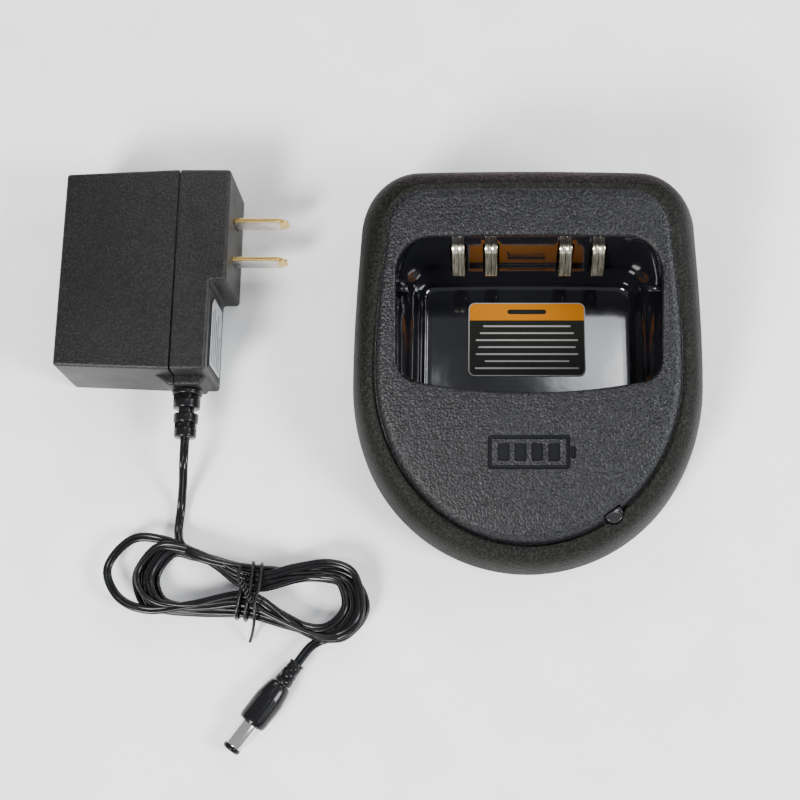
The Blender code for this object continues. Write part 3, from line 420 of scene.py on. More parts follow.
def smooth_points(route, spacing):
    """Points at about equal spacing along a Catmull-Rom curve through the route's points."""
    padded = [route[0] * 2 - route[1]] + route + [route[-1] * 2 - route[-2]]
    dense = []
    for index in range(1, len(padded) - 2):
        before, start, end, after = padded[index - 1:index + 3]
        for step in range(16):
            t = step / 16
            dense.append(0.5 * (2 * start + (end - before) * t
                                + (2 * before - 5 * start + 4 * end - after) * t ** 2
                                + (3 * start - before - 3 * end + after) * t ** 3))
    dense.append(route[-1])
    lengths = [0.0]
    for first, second in zip(dense, dense[1:]):
        lengths.append(lengths[-1] + (second - first).length)
    count = max(2, round(lengths[-1] / spacing))
    points, place = [], 0
    for step in range(count + 1):
        target = lengths[-1] * step / count
        while place < len(lengths) - 2 and lengths[place + 1] < target:
            place += 1
        part = (target - lengths[place]) / max(1e-9, lengths[place + 1] - lengths[place])
        points.append(dense[place].lerp(dense[place + 1], min(part, 1.0)))
    return points


def sweep(points, section, name, roll=None, up=Vector((0, 0, 1))):
    """Carry a flat section along points; its second axis stays as near to up as it can."""
    rings = []
    for index, point in enumerate(points):
        before, after = points[max(index - 1, 0)], points[min(index + 1, len(points) - 1)]
        along = (after - before).normalized()
        side = along.cross(up).normalized()
        top = side.cross(along).normalized()
        if roll:
            turn = Matrix.Rotation(roll(index / (len(points) - 1)), 3, along)
            side, top = turn @ side, turn @ top
        rings.append([tuple(point + side * a + top * b) for a, b in section])
    return loft(rings, name)


def circle(radius, count):
    return [(radius * math.cos(2 * math.pi * step / count), radius * math.sin(2 * math.pi * step / count))
            for step in range(count)]


# ---------------------------------------------------------------- lead
CORD_CORE = 0.76                # radius of each of the two cores
CORD_OFFSET = 0.64              # distance of each core from the middle
CASE_THICKNESS = 26.0
HANK_AT = Vector((-43.5, -60.5, 0.0)) + SET_SHIFT
HANK_TILT = math.radians(-10.0)
PLUG_START = Vector((-28.6, -81.5, 4.4)) + SET_SHIFT
PLUG_DIRECTION = Vector((-0.6, -0.8, 0.0))
RELIEF_LENGTH, GRIP_LENGTH = 7.5, 14.0
BARREL_LENGTH, BARREL_RADIUS = 8.0, 2.75
GAP = 0.3                        # play between CAD pieces that touch or cut each other
LEAD_SPACING = 1.3
LEAD_LOWEST = 1.45               # height of its middle where it rests on the table


def flat_cord_section():
    """Outline of two cores side by side."""
    meet = math.acos(CORD_OFFSET / CORD_CORE)
    points = []
    for side in (1, -1):
        for step in range(8):
            angle = -(math.pi - meet) + 2 * (math.pi - meet) * step / 8
            x = side * (CORD_OFFSET + CORD_CORE * math.cos(angle))
            y = side * CORD_CORE * math.sin(angle)
            points.append((x, y))
    return points


def hank_point(along, across, height):
    turn = Matrix.Rotation(HANK_TILT, 3, "Z")
    return HANK_AT + turn @ Vector((along, across, height))


def half_loop(reach, wide, place, lift):
    """Points from a strand's place in the tie out along one side of an end loop."""
    points = []
    for share, width in ((0.38, 0.62), (0.66, 0.98), (0.88, 0.74)):
        across = place[0] * (1 - width) + wide * width
        height = place[1] + (lift - place[1]) * share
        points.append(hank_point(reach * share, across, height))
    return points


def hank_route():
    """Route of the folded lead: up strands run to the right through the tie, down strands return.

    Each turn gives its reach to the right and to the left, the half widths of its two end
    loops, and its places in the tie as (across, height) of the up and the down strand.
    """
    turns = (
        (33.0, 31.5, 8.6, 8.2, (6.6, 7.6), (-1.4, 2.4)),
        (30.5, 35.0, 8.0, 9.4, (4.0, 2.4), (-6.6, 2.4)),
        (34.5, 29.0, 9.4, 7.6, (1.4, 4.2), (-4.0, 4.2)),
        (31.5, 33.0, 8.4, 9.0, (6.6, 4.2), (-6.6, 6.0)),
        (35.0, 43.5, 10.2, 10.8, (1.4, 6.2), (-1.4, 7.8)),
        (32.0, 30.5, 9.0, 8.4, (4.0, 6.2), (-4.0, 7.8)),
        (29.0, 34.0, 7.6, 9.0, (6.6, 2.2), (-1.4, 5.2)),
        (34.0, 28.0, 12.4, 7.2, (4.0, 8.0), (-6.6, 4.2)),
    )
    route = []
    for index, (right, left, wide_right, wide_left, up, down) in enumerate(turns):
        lift = 1.6 + 0.85 * index
        route.append(hank_point(0.0, *up))
        route += half_loop(right, wide_right, up, lift)
        route.append(hank_point(right, 0.4, lift))
        if index == len(turns) - 1:
            break
        route += reversed(half_loop(right, -wide_right, down, lift))
        route.append(hank_point(0.0, *down))
        route += half_loop(-left, -wide_left, down, lift)
        route.append(hank_point(-left, -0.4, lift))
        next_up = turns[index + 1][4]
        route += reversed(half_loop(-left, wide_left, next_up, lift + 0.4))
    return route


def lead_route():
    """Whole route of the lead, from the adapter's strain relief to the plug's."""
    low, high = node_box("adapter_strain_relief")
    start = Vector(((low.x + high.x) / 2, low.y, CASE_THICKNESS / 2))
    drop = [(0.0, 0.8, 0.0), (0.0, -4.0, 0.0), (-0.2, -8.0, -1.0), (-0.8, -12.0, -4.6), (-1.6, -15.5, -8.2),
            (-2.2, -19.0, -10.6), (-2.6, -23.0, -11.2), (-2.4, -27.0, -9.8), (-0.6, -31.2, -6.6),
            (4.4, -34.8, -4.8), (12.0, -37.0, -4.8)]
    route = [start + Vector(step) for step in drop]
    route += hank_route()
    finish = PLUG_START + PLUG_DIRECTION
    tail = [hank_point(32.6, -5.2, 7.4), hank_point(29.6, -7.9, 6.6), hank_point(26.2, -9.4, 5.4),
            hank_point(23.0, -11.0, 4.4), finish - PLUG_DIRECTION * 6.2, finish]
    return route + tail


def make_lead():
    """Flat cord along its route, rolling gently as a loose cord does, and never below the table."""
    points = smooth_points(lead_route(), LEAD_SPACING)
    for point in points:
        point.z = max(point.z, LEAD_LOWEST)

    def roll(part):
        settle = min(1.0, part * 30.0, (1.0 - part) * 30.0)
        return settle * (0.75 * math.sin(part * 61.0) + 0.5 * math.sin(part * 143.0 + 1.0))

    mesh = sweep(points, flat_cord_section(), "lead", roll)
    lead = make_piece("adapter_lead", mesh, ["pvc"], "adapter", ["cord_lead", "cord_hank", "cord_tail"],
                      smooth=60)
    length = sum((b - a).length for a, b in zip(points, points[1:]))
    return lead, points, length


def make_tie():
    """Black wire tie: two rounds about the waist, a short twist on top and two loose ends."""
    half_y, low_z, high_z, wire = 8.6, 0.75, 10.3, 0.5
    middle_z, half_z = (low_z + high_z) / 2, (high_z - low_z) / 2
    route = []
    steps, power = 24, 0.62
    for step in range(2 * steps + 1):
        angle = math.pi / 2 + 2 * math.pi * step / steps
        across = half_y * math.copysign(abs(math.cos(angle)) ** power, math.cos(angle))
        height = middle_z + half_z * math.copysign(abs(math.sin(angle)) ** power, math.sin(angle))
        along = -2.6 + 5.2 * step / (2 * steps) + 0.7 * math.sin(angle)
        route.append(hank_point(along, across, height))
    start_tail = [hank_point(-3.4, 6.0, 10.9), hank_point(-3.1, 3.0, 11.1)]
    end_tail = [hank_point(3.2, -3.5, 11.0), hank_point(3.8, -7.5, 9.6), hank_point(3.6, -10.4, 6.4),
                hank_point(3.1, -12.6, 3.4), hank_point(2.6, -14.2, 1.4)]
    points = smooth_points(start_tail + route + end_tail, 0.7)
    twist_meshes = [sweep(points, circle(wire, 8), "tie_wire")]
    for phase in (0.0, math.pi):
        helix = []
        for step in range(31):
            part = step / 30
            angle = phase + part * 3.2 * 2 * math.pi
            centre = hank_point(-2.2 + 4.6 * part, 2.2 - 5.6 * part, 11.3)
            swing = Vector((0.55 * math.cos(angle), 0.3 * math.cos(angle), 0.5 * math.sin(angle)))
            helix.append(centre + swing)
        twist_meshes.append(sweep(helix, circle(0.42, 8), "tie_twist"))
    return make_piece("tie_wire", joined(twist_meshes, "tie_wire"), ["tie"], "adapter", ["twist_tie"],
                      smooth=60)


def pointed(mesh, start, direction):
    """Turn a mesh built along +Z to run along a direction from a start point."""
    turn = Vector((0, 0, 1)).rotation_difference(direction).to_matrix().to_4x4()
    return moved(mesh, Matrix.Translation(start * MM) @ turn)


def relief_mesh(length, start, end, rings, collar, segments, name):
    """Strain relief of separate rings on a core, bridged on alternate sides."""
    core = end * 0.74
    pitch = (length - collar) / rings
    lip = [(start * 0.6, 0.0), (start + 0.2, 0.0), (start + 0.2, collar), (core, collar)]
    stem = [(core, collar * 0.5), (core, length - 0.4), (core * 0.96, length - 0.1)]
    parts = [turned(rounded(lip, 0.4), segments, name), turned(stem, segments, name)]
    for ring in range(rings):
        low = collar + pitch * (ring + 0.3)
        high = collar + pitch * (ring + 0.94)
        radius = start + (end - start) * (ring + 0.5) / rings
        profile = [(core * 0.8, low), (radius, low), (radius * 0.97, high), (core * 0.8, high)]
        parts.append(turned(rounded(profile, 0.45), segments, name))
        for flip in (1, -1):
            low_x, high_x = sorted((flip * core * 0.5, flip * radius * 0.93))
            low_corner = (low_x, -radius * 0.42, low - pitch * 0.36)
            bridge = box_mesh(low_corner, (high_x, radius * 0.42, low + 0.3), 0.25, 2)
            parts.append(moved(bridge, Matrix.Rotation(math.pi / 2 * (ring % 2), 4, "Z")))
    return joined(parts, name)


def make_plug():
    """Barrel plug: ribbed strain relief, moulded grip, nickel barrel and insulating ring."""
    lap = 0.28                  # the grip takes up this much of the play at each of its ends
    grip_start = PLUG_START + PLUG_DIRECTION * (RELIEF_LENGTH + GAP)
    barrel_start = grip_start + PLUG_DIRECTION * (GRIP_LENGTH + GAP - lap)
    ring_start = barrel_start + PLUG_DIRECTION * (BARREL_LENGTH + GAP)
    sleeve = rounded([(1.0, 0.0), (BARREL_RADIUS, 0.0), (BARREL_RADIUS, BARREL_LENGTH),
                      (2.1, BARREL_LENGTH), (2.1, 0.6), (1.0, 0.6)], 0.18)
    tip = rounded([(1.0, -0.2), (2.72, -0.2), (2.72, 0.7), (2.3, 1.2), (1.35, 1.2), (1.3, -0.6),
                   (1.0, -0.6)], 0.14)
    parts = (
        ("plug_relief", relief_mesh(RELIEF_LENGTH, 2.2, 2.9, 3, 0.8, 32, "plug_relief"), PLUG_START, "pvc",
         "plug_strain_relief", "soft_pvc"),
        ("plug_handle", grip_mesh(GRIP_LENGTH + lap), grip_start - PLUG_DIRECTION * lap, "pvc",
         "plug_grip", "soft_pvc"),
        ("plug_sleeve", turned(sleeve, 48, "plug_sleeve"), barrel_start, "nickel", "plug_barrel",
         "plated_metal"),
        ("plug_ring", turned(tip, 48, "plug_ring"), ring_start, "pvc", "plug_insulator", "soft_pvc"),
    )
    pieces = []
    for name, mesh, start, finish, node, slot in parts:
        mesh = pointed(mesh, start, PLUG_DIRECTION)
        pieces.append(make_piece(name, mesh, [finish], "adapter", [node], 40))
    return pieces


def grip_mesh(length):
    """Moulded grip: a tapered round body with fine lengthwise ribs on its wide part."""
    segments, ribs = 96, 24
    rings = []
    profile = rounded([(2.4, 0.0), (3.15, 0.25), (3.7, 1.8), (4.25, 5.0), (4.32, 6.2), (4.32, length - 1.4),
                       (4.0, length - 0.1), (2.6, length)], 0.5)
    for radius, height in profile:
        ring = []
        ribbed = max(0.0, min(1.0, (height - 4.2) / 1.5, (length - 1.6 - height) / 1.0))
        for step in range(segments):
            angle = 2 * math.pi * step / segments
            reach = radius - 0.16 * ribbed * (0.5 - 0.5 * math.cos(angle * ribs))
            ring.append((reach * math.cos(angle), reach * math.sin(angle), height))
        rings.append(ring)
    steps = []
    for first, second in zip(rings, rings[1:]):
        steps.append(first)
        span = second[0][2] - first[0][2]
        extra = int(span)
        for part in range(1, extra + 1):
            t = part / (extra + 1)
            steps.append([tuple(a + (b - a) * t for a, b in zip(p, q)) for p, q in zip(first, second)])
    steps.append(rings[-1])
    return loft(steps, "plug_grip")


def make_adapter_relief():
    low, high = node_box("adapter_strain_relief")
    start = Vector(((low.x + high.x) / 2, high.y, CASE_THICKNESS / 2))
    mesh = pointed(relief_mesh(15.0, 4.3, 3.2, 3, 1.6, 40, "case_relief"), start, Vector((0, -1, 0)))
    make_piece("case_relief", mesh, ["pvc"], "adapter", ["adapter_strain_relief"], 40)


# ---------------------------------------------------------------- cradle
CRADLE = Vector((39.5, 8.0, 0.0)) + SET_SHIFT
ADAPTER = Vector((-101.7, 34.5, 0.0)) + SET_SHIFT
WIDEST_Y = -9.0
RIM_Z = 1.2
WALL = 2.2
PANEL_FRONT_Y, PANEL_BACK_Y = -56.2, 41.3
PANEL_FRONT_Z, PANEL_BACK_Z = 19.0, 52.0
PANEL_TILT = math.atan((PANEL_BACK_Z - PANEL_FRONT_Z) / (PANEL_BACK_Y - PANEL_FRONT_Y))
PANEL_HALF = 44.8
PANEL_STEP, PANEL_STEP_BACK = 2.7, 0.5
PANEL_ROUND = 0.9
EDGE_WIDTH, EDGE_DEPTH = 2.5, 1.42   # rounded edge: its width, and its depth in steps
SHOULDER_ROUNDING = 2.8
POCKET_FLOOR_Z = 10.0
WALL_RUN = 6.0
CONTACT_X = (-20.7, -11.0, 11.0, 20.7)
CONTACT_PIVOT = Vector((0.0, 31.5, 16.0))
LENS_AT = (24.8, -47.9)
JACK_AXIS_Z = 14.2
HOUSING_FINISHES = ("panel", "skirt", "mark")
BACK_STEPS, CORNER_STEPS, SIDE_STEPS, FRONT_STEPS = 6, 12, 10, 36


def panel_height(y):
    return PANEL_BACK_Z - (PANEL_BACK_Y - y) * math.tan(PANEL_TILT)


def mirrored(half):
    return half + [(-x, y) for x, y in reversed(half[1:-1])]


def rounded_back(half_back, back_y, corner, half_side, side_y, bow):
    """Right half of an outline's back edge, its corner and its side down to side_y."""
    flat = half_back - corner
    points = []
    for step in range(BACK_STEPS):
        x = flat * step / BACK_STEPS
        points.append((x, back_y - bow * (x / half_back) ** 2))
    centre_y = back_y - bow * (flat / half_back) ** 2 - corner
    for step in range(CORNER_STEPS + 1):
        angle = math.radians(90 - 90 * step / CORNER_STEPS)
        points.append((flat + corner * math.cos(angle), centre_y + corner * math.sin(angle)))
    for step in range(1, SIDE_STEPS):
        part = step / SIDE_STEPS
        x = half_back + (half_side - half_back) * math.sin(part * math.pi / 2)
        points.append((x, centre_y + (side_y - centre_y) * part))
    return points


def shield_outline(half, half_back, back_y, front_y, corner, inset=0.0):
    """Straight back, nearly straight sides, half-round front."""
    points = rounded_back(half_back - inset, back_y - inset, corner - inset, half - inset, WIDEST_Y, 0.8)
    depth = WIDEST_Y - front_y - inset
    for step in range(FRONT_STEPS + 1):
        angle = math.pi / 2 * step / FRONT_STEPS
        points.append(((half - inset) * math.cos(angle), WIDEST_Y - depth * math.sin(angle)))
    points[-1] = (0.0, points[-1][1])
    return mirrored(points)


def pocket_outline(half, back_y, front_y, back_corner, front_corner, outset=0.0, bow=2.8):
    """A wide slot with rounded corners and a front edge bowed outwards."""
    half = half + outset
    front_y = front_y - outset
    side_y = front_y + bow + front_corner + outset
    points = rounded_back(half, back_y + outset, back_corner + outset, half, side_y, 0.5)
    corner = front_corner + outset
    steps = 12
    for step in range(steps + 1):
        angle = math.pi / 2 * step / steps
        points.append((half - corner + corner * math.cos(angle), side_y - corner * math.sin(angle)))
    flat = half - corner
    for step in range(1, FRONT_STEPS - steps + 1):
        x = flat * (1 - step / (FRONT_STEPS - steps))
        points.append((x, front_y + bow * (x / flat) ** 2))
    points[-1] = (0.0, points[-1][1])
    return mirrored(points)


def base_outline(inset=0.0):
    return shield_outline(53.0, 51.0, 53.0, -63.0, 18.0, inset)


def panel_outline(inset=0.0):
    return shield_outline(PANEL_HALF, 40.9, PANEL_BACK_Y, PANEL_FRONT_Y, 11.6, inset)


def opening_outline(outset=0.0):
    return pocket_outline(38.5, 28.4, -14.5, 10.0, 6.4, outset)


def panel_step(y):
    """How far the skirt lies below the panel: most at the front."""
    part = (PANEL_BACK_Y - y) / (PANEL_BACK_Y - PANEL_FRONT_Y)
    return PANEL_STEP_BACK + (PANEL_STEP - PANEL_STEP_BACK) * part


def skirt_ring(angle, inset=0.0, lower=0.0, pull=0.0, dip=0.0):
    """Ring of the skirt, whose angle runs from 0 at the rim to 90 at the panel's edge.

    inset and lower move it inside the wall; pull and dip shape the groove beside the panel.
    """
    power = 2 / SHOULDER_ROUNDING
    rise = math.sin(math.radians(angle)) ** power
    inward = 1 - max(0.0, math.cos(math.radians(angle))) ** power
    ring = []
    for (bx, by), (sx, sy) in zip(base_outline(inset), panel_outline(inset + pull)):
        top = panel_height(sy) - panel_step(sy) - lower
        height = RIM_Z + (top - RIM_Z) * rise - dip * panel_step(sy)
        ring.append((bx + (sx - bx) * inward, by + (sy - by) * inward, height))
    return ring


def plane_ring(outline, below=0.0):
    return [(x, y, panel_height(y) - below) for x, y in outline]


def edge_ring(inset, share):
    """Ring of the panel's rounded edge, which reaches a little below the step beside it."""
    return [(x, y, panel_height(y) - share * EDGE_DEPTH * panel_step(y)) for x, y in panel_outline(inset)]


def placed(mesh, origin):
    return moved(mesh, Matrix.Translation(origin * MM))


def lens_outline(clearance=0.0, steps=24):
    """Half disc with its flat side along the panel's edge and its round side outwards."""
    x, y = LENS_AT
    outward = math.atan2((y - WIDEST_Y) / (WIDEST_Y - PANEL_FRONT_Y) ** 2, x / PANEL_HALF ** 2)
    radius = 2.65 + clearance
    points = []
    for step in range(steps + 1):
        angle = outward - math.pi / 2 + math.pi * step / steps
        points.append((x + radius * math.cos(angle), y + radius * math.sin(angle)))
    back = outward + math.pi
    shift_x, shift_y = (0.9 + clearance) * math.cos(back), (0.9 + clearance) * math.sin(back)
    for end_x, end_y in (points[steps], points[0]):
        points.append((end_x + shift_x, end_y + shift_y))
    return points


def mark_cutters():
    """Blocks that engrave a plain battery symbol in the panel."""
    half_x, half_y, line, depth = 12.0, 5.0, 1.2, 0.5
    mark_y, bars, bar_width, bar_pitch = -31.0, 4, 3.5, 4.9
    outer = prism(rounded_rectangle(2 * half_x, 2 * half_y, 1.1, 6), -depth, 3.0)
    inner_outline = rounded_rectangle(2 * (half_x - line), 2 * (half_y - line), 0.5, 6)
    inner = prism(inner_outline, -depth - 1.0, 4.0)
    blocks = [boolean(outer, [inner])]
    blocks.append(plate(rounded_rectangle(1.6, 3.6, 0.5, 4), half_x + 0.9, 0, -depth, 3.0))
    for bar in range(bars):
        outline = rounded_rectangle(bar_width, 2 * (half_y - 2 * line), 0.5, 4)
        blocks.append(plate(outline, (bar - (bars - 1) / 2) * bar_pitch, 0, -depth, 3.0))
    centre = Vector((0, mark_y, panel_height(mark_y)))
    place = Matrix.Translation(centre * MM) @ Matrix.Rotation(PANEL_TILT, 4, "X")
    return [moved(set_slot(block, 2), place) for block in blocks]


def set_slot(mesh, index):
    while len(mesh.materials) <= index:
        mesh.materials.append(None)
    return set_index(mesh, index)


def rounded_rectangle(width, depth, radius, steps):
    points = []
    for turn in range(4):
        centre_x = (width / 2 - radius) * (1 if turn in (0, 3) else -1)
        centre_y = (depth / 2 - radius) * (1 if turn in (0, 1) else -1)
        for step in range(steps + 1):
            angle = math.pi / 2 * (turn + step / steps)
            points.append((centre_x + radius * math.cos(angle), centre_y + radius * math.sin(angle)))
    return points


def make_housing():
    """Skirt, groove, rounded panel edge, panel and its opening, as one shell with a hollow inside."""
    rings = [skirt_ring(angle) for angle in [step * 3.5 for step in range(25)] + [86.0, 87.5]]
    for pull, dip in ((-1.5, 0.04), (-1.1, 0.14), (-0.7, 0.3), (-0.35, 0.42), (-0.05, 0.46)):
        rings.append(skirt_ring(90, pull=pull, dip=dip))
    skirt_rows = len(rings) - 1
    turns = [math.radians(step * 11.25) for step in range(9)]
    for turn in turns:
        rings.append(edge_ring(0.15 + EDGE_WIDTH * (1 - math.cos(turn)), 1 - math.sin(turn)))
    for share in (0.25, 0.5, 0.75):
        outer, inner = panel_outline(0.15 + EDGE_WIDTH), opening_outline(PANEL_ROUND)
        mix = [(a + (c - a) * share, b + (d - b) * share) for (a, b), (c, d) in zip(outer, inner)]
        rings.append(plane_ring(mix))
    for turn in reversed(turns):
        rings.append(plane_ring(opening_outline(PANEL_ROUND * (1 - math.cos(turn))),
                                PANEL_ROUND * (1 - math.sin(turn))))
    rings.append(plane_ring(opening_outline(), WALL + GAP))
    panel_end = len(rings)
    rings.append(plane_ring(panel_outline(1.6), WALL + GAP))
    rings.extend(skirt_ring(angle, WALL, WALL + 0.3) for angle in (76, 55, 32, 0))
    mesh = loft(rings, "housing", closed_round=True)
    count = len(rings[0])
    for polygon in mesh.polygons:
        polygon.material_index = 0 if skirt_rows <= polygon.index // count < panel_end else 1
    for finish in HOUSING_FINISHES:
        mesh.materials.append(FINISH[finish])
    lens_hole = prism(lens_outline(0.28), 11.0, 40.0)
    jack_axis = Matrix.Translation((0, 0, JACK_AXIS_Z * MM)) @ Matrix.Rotation(-math.pi / 2, 4, "X")
    jack_hole = moved(turned([(5.6, 40.0), (5.6, 60.0)], 48, "hole"), jack_axis)
    cutters = [set_slot(lens_hole, 2), set_slot(jack_hole, 1)] + mark_cutters()
    mesh = boolean(mesh, cutters)
    while len(mesh.materials) > len(HOUSING_FINISHES):
        mesh.materials.pop(index=len(mesh.materials) - 1)
    for index, finish in enumerate(HOUSING_FINISHES):
        mesh.materials[index] = FINISH[finish]
    make_piece("housing_shell", placed(mesh, CRADLE), [], "cradle", ["upper_housing"], 32)


def liner_profile():
    """(run, height) pairs down the pocket's wall and, past WALL_RUN, inwards over its floor."""
    corners = [(0.0, 30.0), (1.5, 25.6), (3.9, 22.4), (5.5, 11.9), (6.6, 10.0), (9.0, 10.0)]
    return rounded(corners, 1.9, 7)


def liner_ring(along, level, outset):
    share = min(1.0, along / WALL_RUN)
    beyond = max(0.0, along - WALL_RUN)
    half = 38.5 - 6.4 * share - beyond
    back = 28.4 - 2.2 * share - beyond
    front = -14.5 + 3.3 * share + beyond
    corner = 10.0 - 6.4 * share
    outline = pocket_outline(half, back, front, corner, 5.4 - 1.2 * share, outset, 2.8 * (1 - share) + 0.05)
    return [(x, y, level - outset * share) for x, y in outline]


def make_liner():
    """Glossy pocket with slots for the contacts and a guide rib on each side."""
    inner = [plane_ring(opening_outline(-0.12), 0.95), plane_ring(opening_outline(-0.04), 1.3)]
    inner += [liner_ring(along, level, 0.0) for along, level in liner_profile()]
    outer = [plane_ring(opening_outline(-0.05), 0.95), plane_ring(opening_outline(-0.02), 2.7),
             plane_ring(opening_outline(1.4), 2.9)]
    outer += [liner_ring(along, level, 1.4) for along, level in liner_profile()[::2]]
    outer = [[(x, y, max(z, POCKET_FLOOR_Z - 1.4)) for x, y, z in ring] for ring in outer]
    mesh = loft(list(reversed(inner)) + outer, "liner")
    slots = [box_mesh((x - 2.45, 24.2, 21.0), (x + 2.45, 31.6, 40.6), 0.3, 2) for x in CONTACT_X]
    mesh = boolean(mesh, slots)
    parts = [mesh]
    for side in (-1, 1):
        low_x, high_x = sorted((side * 35.3, side * 38.8))
        parts.append(box_mesh((low_x, 15.1, 22.4), (high_x, 17.1, 36.5), 0.45, 3))
    whole = joined(parts, "liner")
    whole.materials.clear()
    whole = placed(whole, CRADLE)
    make_piece("pocket_shell", whole, ["liner"], "cradle", ["pocket_liner"], 30)


def make_contacts():
    """Bent leaves with a crease down the middle and brass-brown edges."""
    bends = ((0, -2.4), (0, 6.0), (0, 14.0), (0.0, 18.2), (-0.5, 20.6), (-1.6, 22.0), (-3.1, 22.3),
             (-4.6, 21.0), (-6.0, 17.4), (-7.3, 13.6), (-8.0, 11.4), (-7.5, 9.9), (-5.4, 8.0))
    points = smooth_points([Vector((0, y, z)) for y, z in bends], 0.35)
    half, thick = 1.85, 0.2
    section = [(-thick, -half + 0.12), (-thick + 0.08, -half), (thick - 0.08, -half), (thick, -half + 0.12),
               (thick, -0.35), (thick - 0.14, -0.1), (thick - 0.14, 0.1), (thick, 0.35), (thick, half - 0.12),
               (thick - 0.08, half), (-thick + 0.08, half), (-thick, half - 0.12), (-thick, 0.35),
               (-thick + 0.14, 0.1), (-thick + 0.14, -0.1), (-thick, -0.35)]
    for index, x in enumerate(CONTACT_X):
        mesh = sweep(points, section, "contact", up=Vector((1, 0, 0)))
        for polygon in mesh.polygons:
            off = abs(polygon.center.x) / MM
            polygon.material_index = 1 if off > half - 0.2 or off < 0.16 else 0
        mesh = placed(mesh, CRADLE + CONTACT_PIVOT + Vector((x, 0, 0)))
        make_piece(f"contact_leaf_{index + 1}", mesh, ["contact", "contact_edge"], f"contact_{index + 1}",
                   [f"contact_spring_{index + 1}"], 50)


def make_lens():
    """Smoked half-round lens, set just below the panel."""
    top = panel_height(LENS_AT[1]) - 0.6
    mesh = prism(lens_outline(-0.05), 14.8, top)
    round_edges(mesh, 0.3, 3)
    mesh = placed(mesh, CRADLE)
    make_piece("lens_cap", mesh, ["lens"], "cradle", ["indicator_lens"], 40)


def make_pocket_label():
    """Printed film: a coloured header over a dark field with plain bars and no writing."""
    width, depth, low = 36.0, 23.6, POCKET_FLOOR_Z + GAP
    middle = 8.6
    parts = [plate(rounded_rectangle(width, depth, 2.0, 8), 0, middle, low, low + 0.1, 2)]
    header, edge = 5.7, 0.3
    field = rounded_rectangle(width - 2 * edge, depth - 2 * edge, 1.7, 8)
    cut = depth / 2 - header
    upper = [(x, y) for x, y in field if y > cut]
    upper = [(width / 2 - edge, cut)] + upper + [(-width / 2 + edge, cut)]
    lower = [(x, y) for x, y in field if y < cut]
    lower = [(-width / 2 + edge, cut)] + lower + [(width / 2 - edge, cut)]
    parts.append(plate(upper, 0, middle, low + 0.1, low + 0.16, 0))
    parts.append(plate(lower, 0, middle, low + 0.1, low + 0.15, 1))
    bars = [(12.0, depth / 2 - header / 2 - 0.1, 1.5, 1, 0.19)]
    for row, length in enumerate((27.0, 29.0, 31.5, 30.0, 31.5, 26.0, 32.0)):
        bars.append((length, cut - 1.9 - row * 2.25, 0.5, 2, 0.17))
    for length, y, tall, index, high in bars:
        outline = rounded_rectangle(length, tall, tall * 0.45, 3)
        parts.append(plate(outline, 0, y + middle, low + 0.14, low + high, index))
    mesh = placed(joined(parts, "pocket_film"), CRADLE)
    finishes = ["orange", "label", "ink"]
    make_piece("pocket_film", mesh, finishes, "cradle", ["pocket_label"], 0)


def make_base_label():
    """Plain label with bars for lines, under the base."""
    low, high = node_box("base_label")
    centre = (low + high) / 2
    parts = [plate(rounded_rectangle(44.0, 24.0, 2.0, 8), centre.x, centre.y, low.z + 0.06, high.z)]
    for row, length in enumerate((34.0, 36.0, 30.0, 35.0)):
        outline = rounded_rectangle(length, 1.2, 0.5, 4)
        parts.append(plate(outline, centre.x, centre.y + 6.0 - row * 4.0, low.z, low.z + 0.1, 1))
    mesh = joined(parts, "base_film")
    make_piece("base_film", mesh, ["grey_label", "label"], "cradle", ["base_label"], 0)


# ---------------------------------------------------------------- adapter
SPLIT_X, CASE_LENGTH, CASE_HALF_Y = 35.0, 50.4, 32.0
STEP_X, STEP_Y = 45.4, -4.0
BOSS_TIP = 2.8
BLADE_Y = (6.25, 18.95)
BLADE_ROOT_X, BLADE_TAPER_X = 40.5, 64.1
BLADE_HALF_Y, BLADE_HALF_Z = 0.75, 3.175


def boss_mesh(low_x, high_x):
    """Half of the trapezoid cable boss on the case's narrow side."""
    edge, tip = -CASE_HALF_Y + 1.0, -CASE_HALF_Y - BOSS_TIP
    outline = [(low_x, edge), (high_x, edge), (min(high_x, 42.8), tip), (max(low_x, 33.2), tip)]
    mesh = prism(outline, 7.0, 19.0, "boss")
    round_edges(mesh, 0.7, 3, on_split)
    return mesh


def on_split(edge):
    """True for an edge in either face where the two case halves meet."""
    return all(abs(abs(vert.co.x / MM - SPLIT_X) - GAP / 2) < 0.02 for vert in edge.verts)


def make_rear_shell():
    split = SPLIT_X - GAP / 2
    far = CASE_HALF_Y - 1.4
    rings = []
    for x, half, high in ((0.0, far, CASE_THICKNESS - 0.6), (split - 0.35, CASE_HALF_Y, CASE_THICKNESS)):
        rings.append([(x, -half, 0.0), (x, half, 0.0), (x, half, high), (x, -half, high)])
    mesh = loft(rings, "rear_shell")
    round_edges(mesh, 1.0, 5, lambda edge: all(vert.co.x > (split - 0.5) * MM for vert in edge.verts))
    parts = [mesh, boss_mesh(28.0, split)]
    inner = CASE_HALF_Y - 0.9
    parts.append(box_mesh((split - 1.0, -inner, 0.9), (split + 0.6, inner, CASE_THICKNESS - 0.9), 0.4, 2))
    mesh = placed(joined(parts, "rear_shell"), ADAPTER)
    make_piece("rear_shell", mesh, ["case"], "adapter", ["adapter_rear_case"], 32)


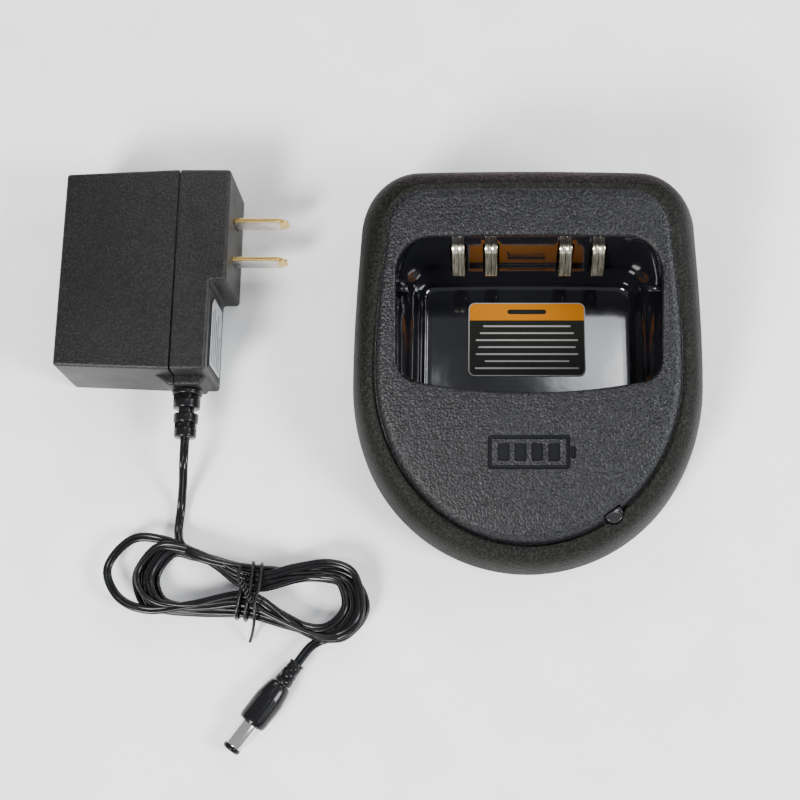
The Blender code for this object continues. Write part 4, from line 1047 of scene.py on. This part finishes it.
def make_front_shell():
    split = SPLIT_X + GAP / 2
    half = CASE_HALF_Y
    outline = [(split, -half), (STEP_X, -half), (STEP_X, STEP_Y), (CASE_LENGTH, STEP_Y), (CASE_LENGTH, half),
               (split, half)]
    mesh = prism(outline, 0.0, CASE_THICKNESS, "front_shell")
    round_edges(mesh, 1.1, 5, lambda edge: all(vert.co.x < (split + 0.1) * MM for vert in edge.verts))
    slots = []
    for y in BLADE_Y:
        slots.append(box_mesh((47.0, y - 1.05, 9.5), (57.0, y + 1.05, 16.5), 0.2, 2))
    mesh = boolean(mesh, slots)
    mesh.materials.clear()
    recess = box_mesh((STEP_X - 0.6, -30.2, 3.8), (STEP_X + 0.22, -6.3, 22.2), 0.1, 1)
    mesh = placed(joined([mesh, boss_mesh(split, 45.0), recess], "front_shell"), ADAPTER)
    make_piece("front_shell", mesh, ["case"], "adapter", ["adapter_front_case"], 32)


def make_blades():
    """Flat blades with tapered tips, silvery on the broad side that faces -Y and brass elsewhere."""
    middle = CASE_THICKNESS / 2
    for name, y in zip(("lower", "upper"), BLADE_Y):
        rings = []
        for x, thin, narrow in ((BLADE_ROOT_X, 0.0, 0.0), (BLADE_TAPER_X, 0.0, 0.0), (64.5, 0.02, 0.05),
                                (66.2, 0.34, 0.85), (66.7, 0.4, 1.1), (66.9, 0.48, 1.4)):
            half_y, half_z = BLADE_HALF_Y - thin, BLADE_HALF_Z - narrow
            outline = rounded_rectangle(2 * half_y, 2 * half_z, min(0.18, half_y * 0.6), 3)
            rings.append([(x, y + a, middle + b) for a, b in outline])
        mesh = loft(rings, "blade")
        for polygon in mesh.polygons:
            broad_side = polygon.normal.y < -0.5 and polygon.center.x < BLADE_TAPER_X * MM
            polygon.material_index = 1 if broad_side else 0
        make_piece(f"prong_{name}", placed(mesh, ADAPTER), ["brass", "silver"], "adapter",
                   [f"blade_{name}"], 30)


def make_rating_label():
    """Plain rating label with one clipped corner and bars for lines."""
    low, high = node_box("adapter_label")
    wide, tall = high.y - low.y, high.z - low.z
    clip = 2.6

    def layer(inset, start, end, index):
        y0, y1, z0, z1 = low.y + inset, high.y - inset, low.z + inset, high.z - inset
        outline = [(y0, z0), (y1, z0), (y1, z1 - clip), (y1 - clip, z1), (y0, z1)]
        return set_index(loft([[(x, y, z) for y, z in outline] for x in (start, end)], "layer"), index)

    parts = [layer(0.0, low.x, low.x + 0.12, 1), layer(0.5, low.x + 0.12, low.x + 0.17, 0)]
    for row, share in enumerate((0.72, 0.8, 0.66, 0.78, 0.5)):
        y, z = low.y + 1.6, low.z + tall * (0.82 - 0.16 * row)
        bar = box_mesh((low.x + 0.15, y, z), (high.x, y + wide * share, z + 0.7))
        parts.append(set_index(bar, 1))
    mesh = joined(parts, "rating_film")
    make_piece("rating_film", mesh, ["grey_label", "label"], "adapter", ["adapter_label"], 0)


NODE_FINISH = {
    "base_plate": "base", "rubber_foot": "foot", "housing_screw": "screw", "contact_carrier": "inner",
    "jack_board": "board", "charge_board": "board", "dc_jack_body": "inner", "dc_jack_pin": "nickel",
    "charge_controller_chip": "inner", "power_inductor": "ferrite", "smoothing_capacitor": "can",
    "indicator_led": "led", "wire_positive": "red", "wire_negative": "wire", "blade_carrier": "inner",
    "adapter_board": "tan_board", "transformer_core": "ferrite", "transformer_winding": "tape",
    "input_capacitor": "can", "output_capacitor": "can", "bridge_rectifier": "inner",
    "switching_transistor": "inner",
}


def dress_nodes():
    """Finish every CAD node that shows as it is."""
    for name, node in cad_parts.items():
        for start, finish in NODE_FINISH.items():
            if name.startswith(start):
                for place in node.material_slots:
                    place.material = FINISH[finish]


make_camera()
make_finishes()
make_stage()
make_housing()
make_liner()
make_contacts()
make_lens()
make_pocket_label()
make_base_label()
make_rear_shell()
make_front_shell()
make_blades()
make_rating_label()
dress_nodes()
lead, lead_points, lead_length = make_lead()
tie = make_tie()
plug = make_plug()
make_adapter_relief()
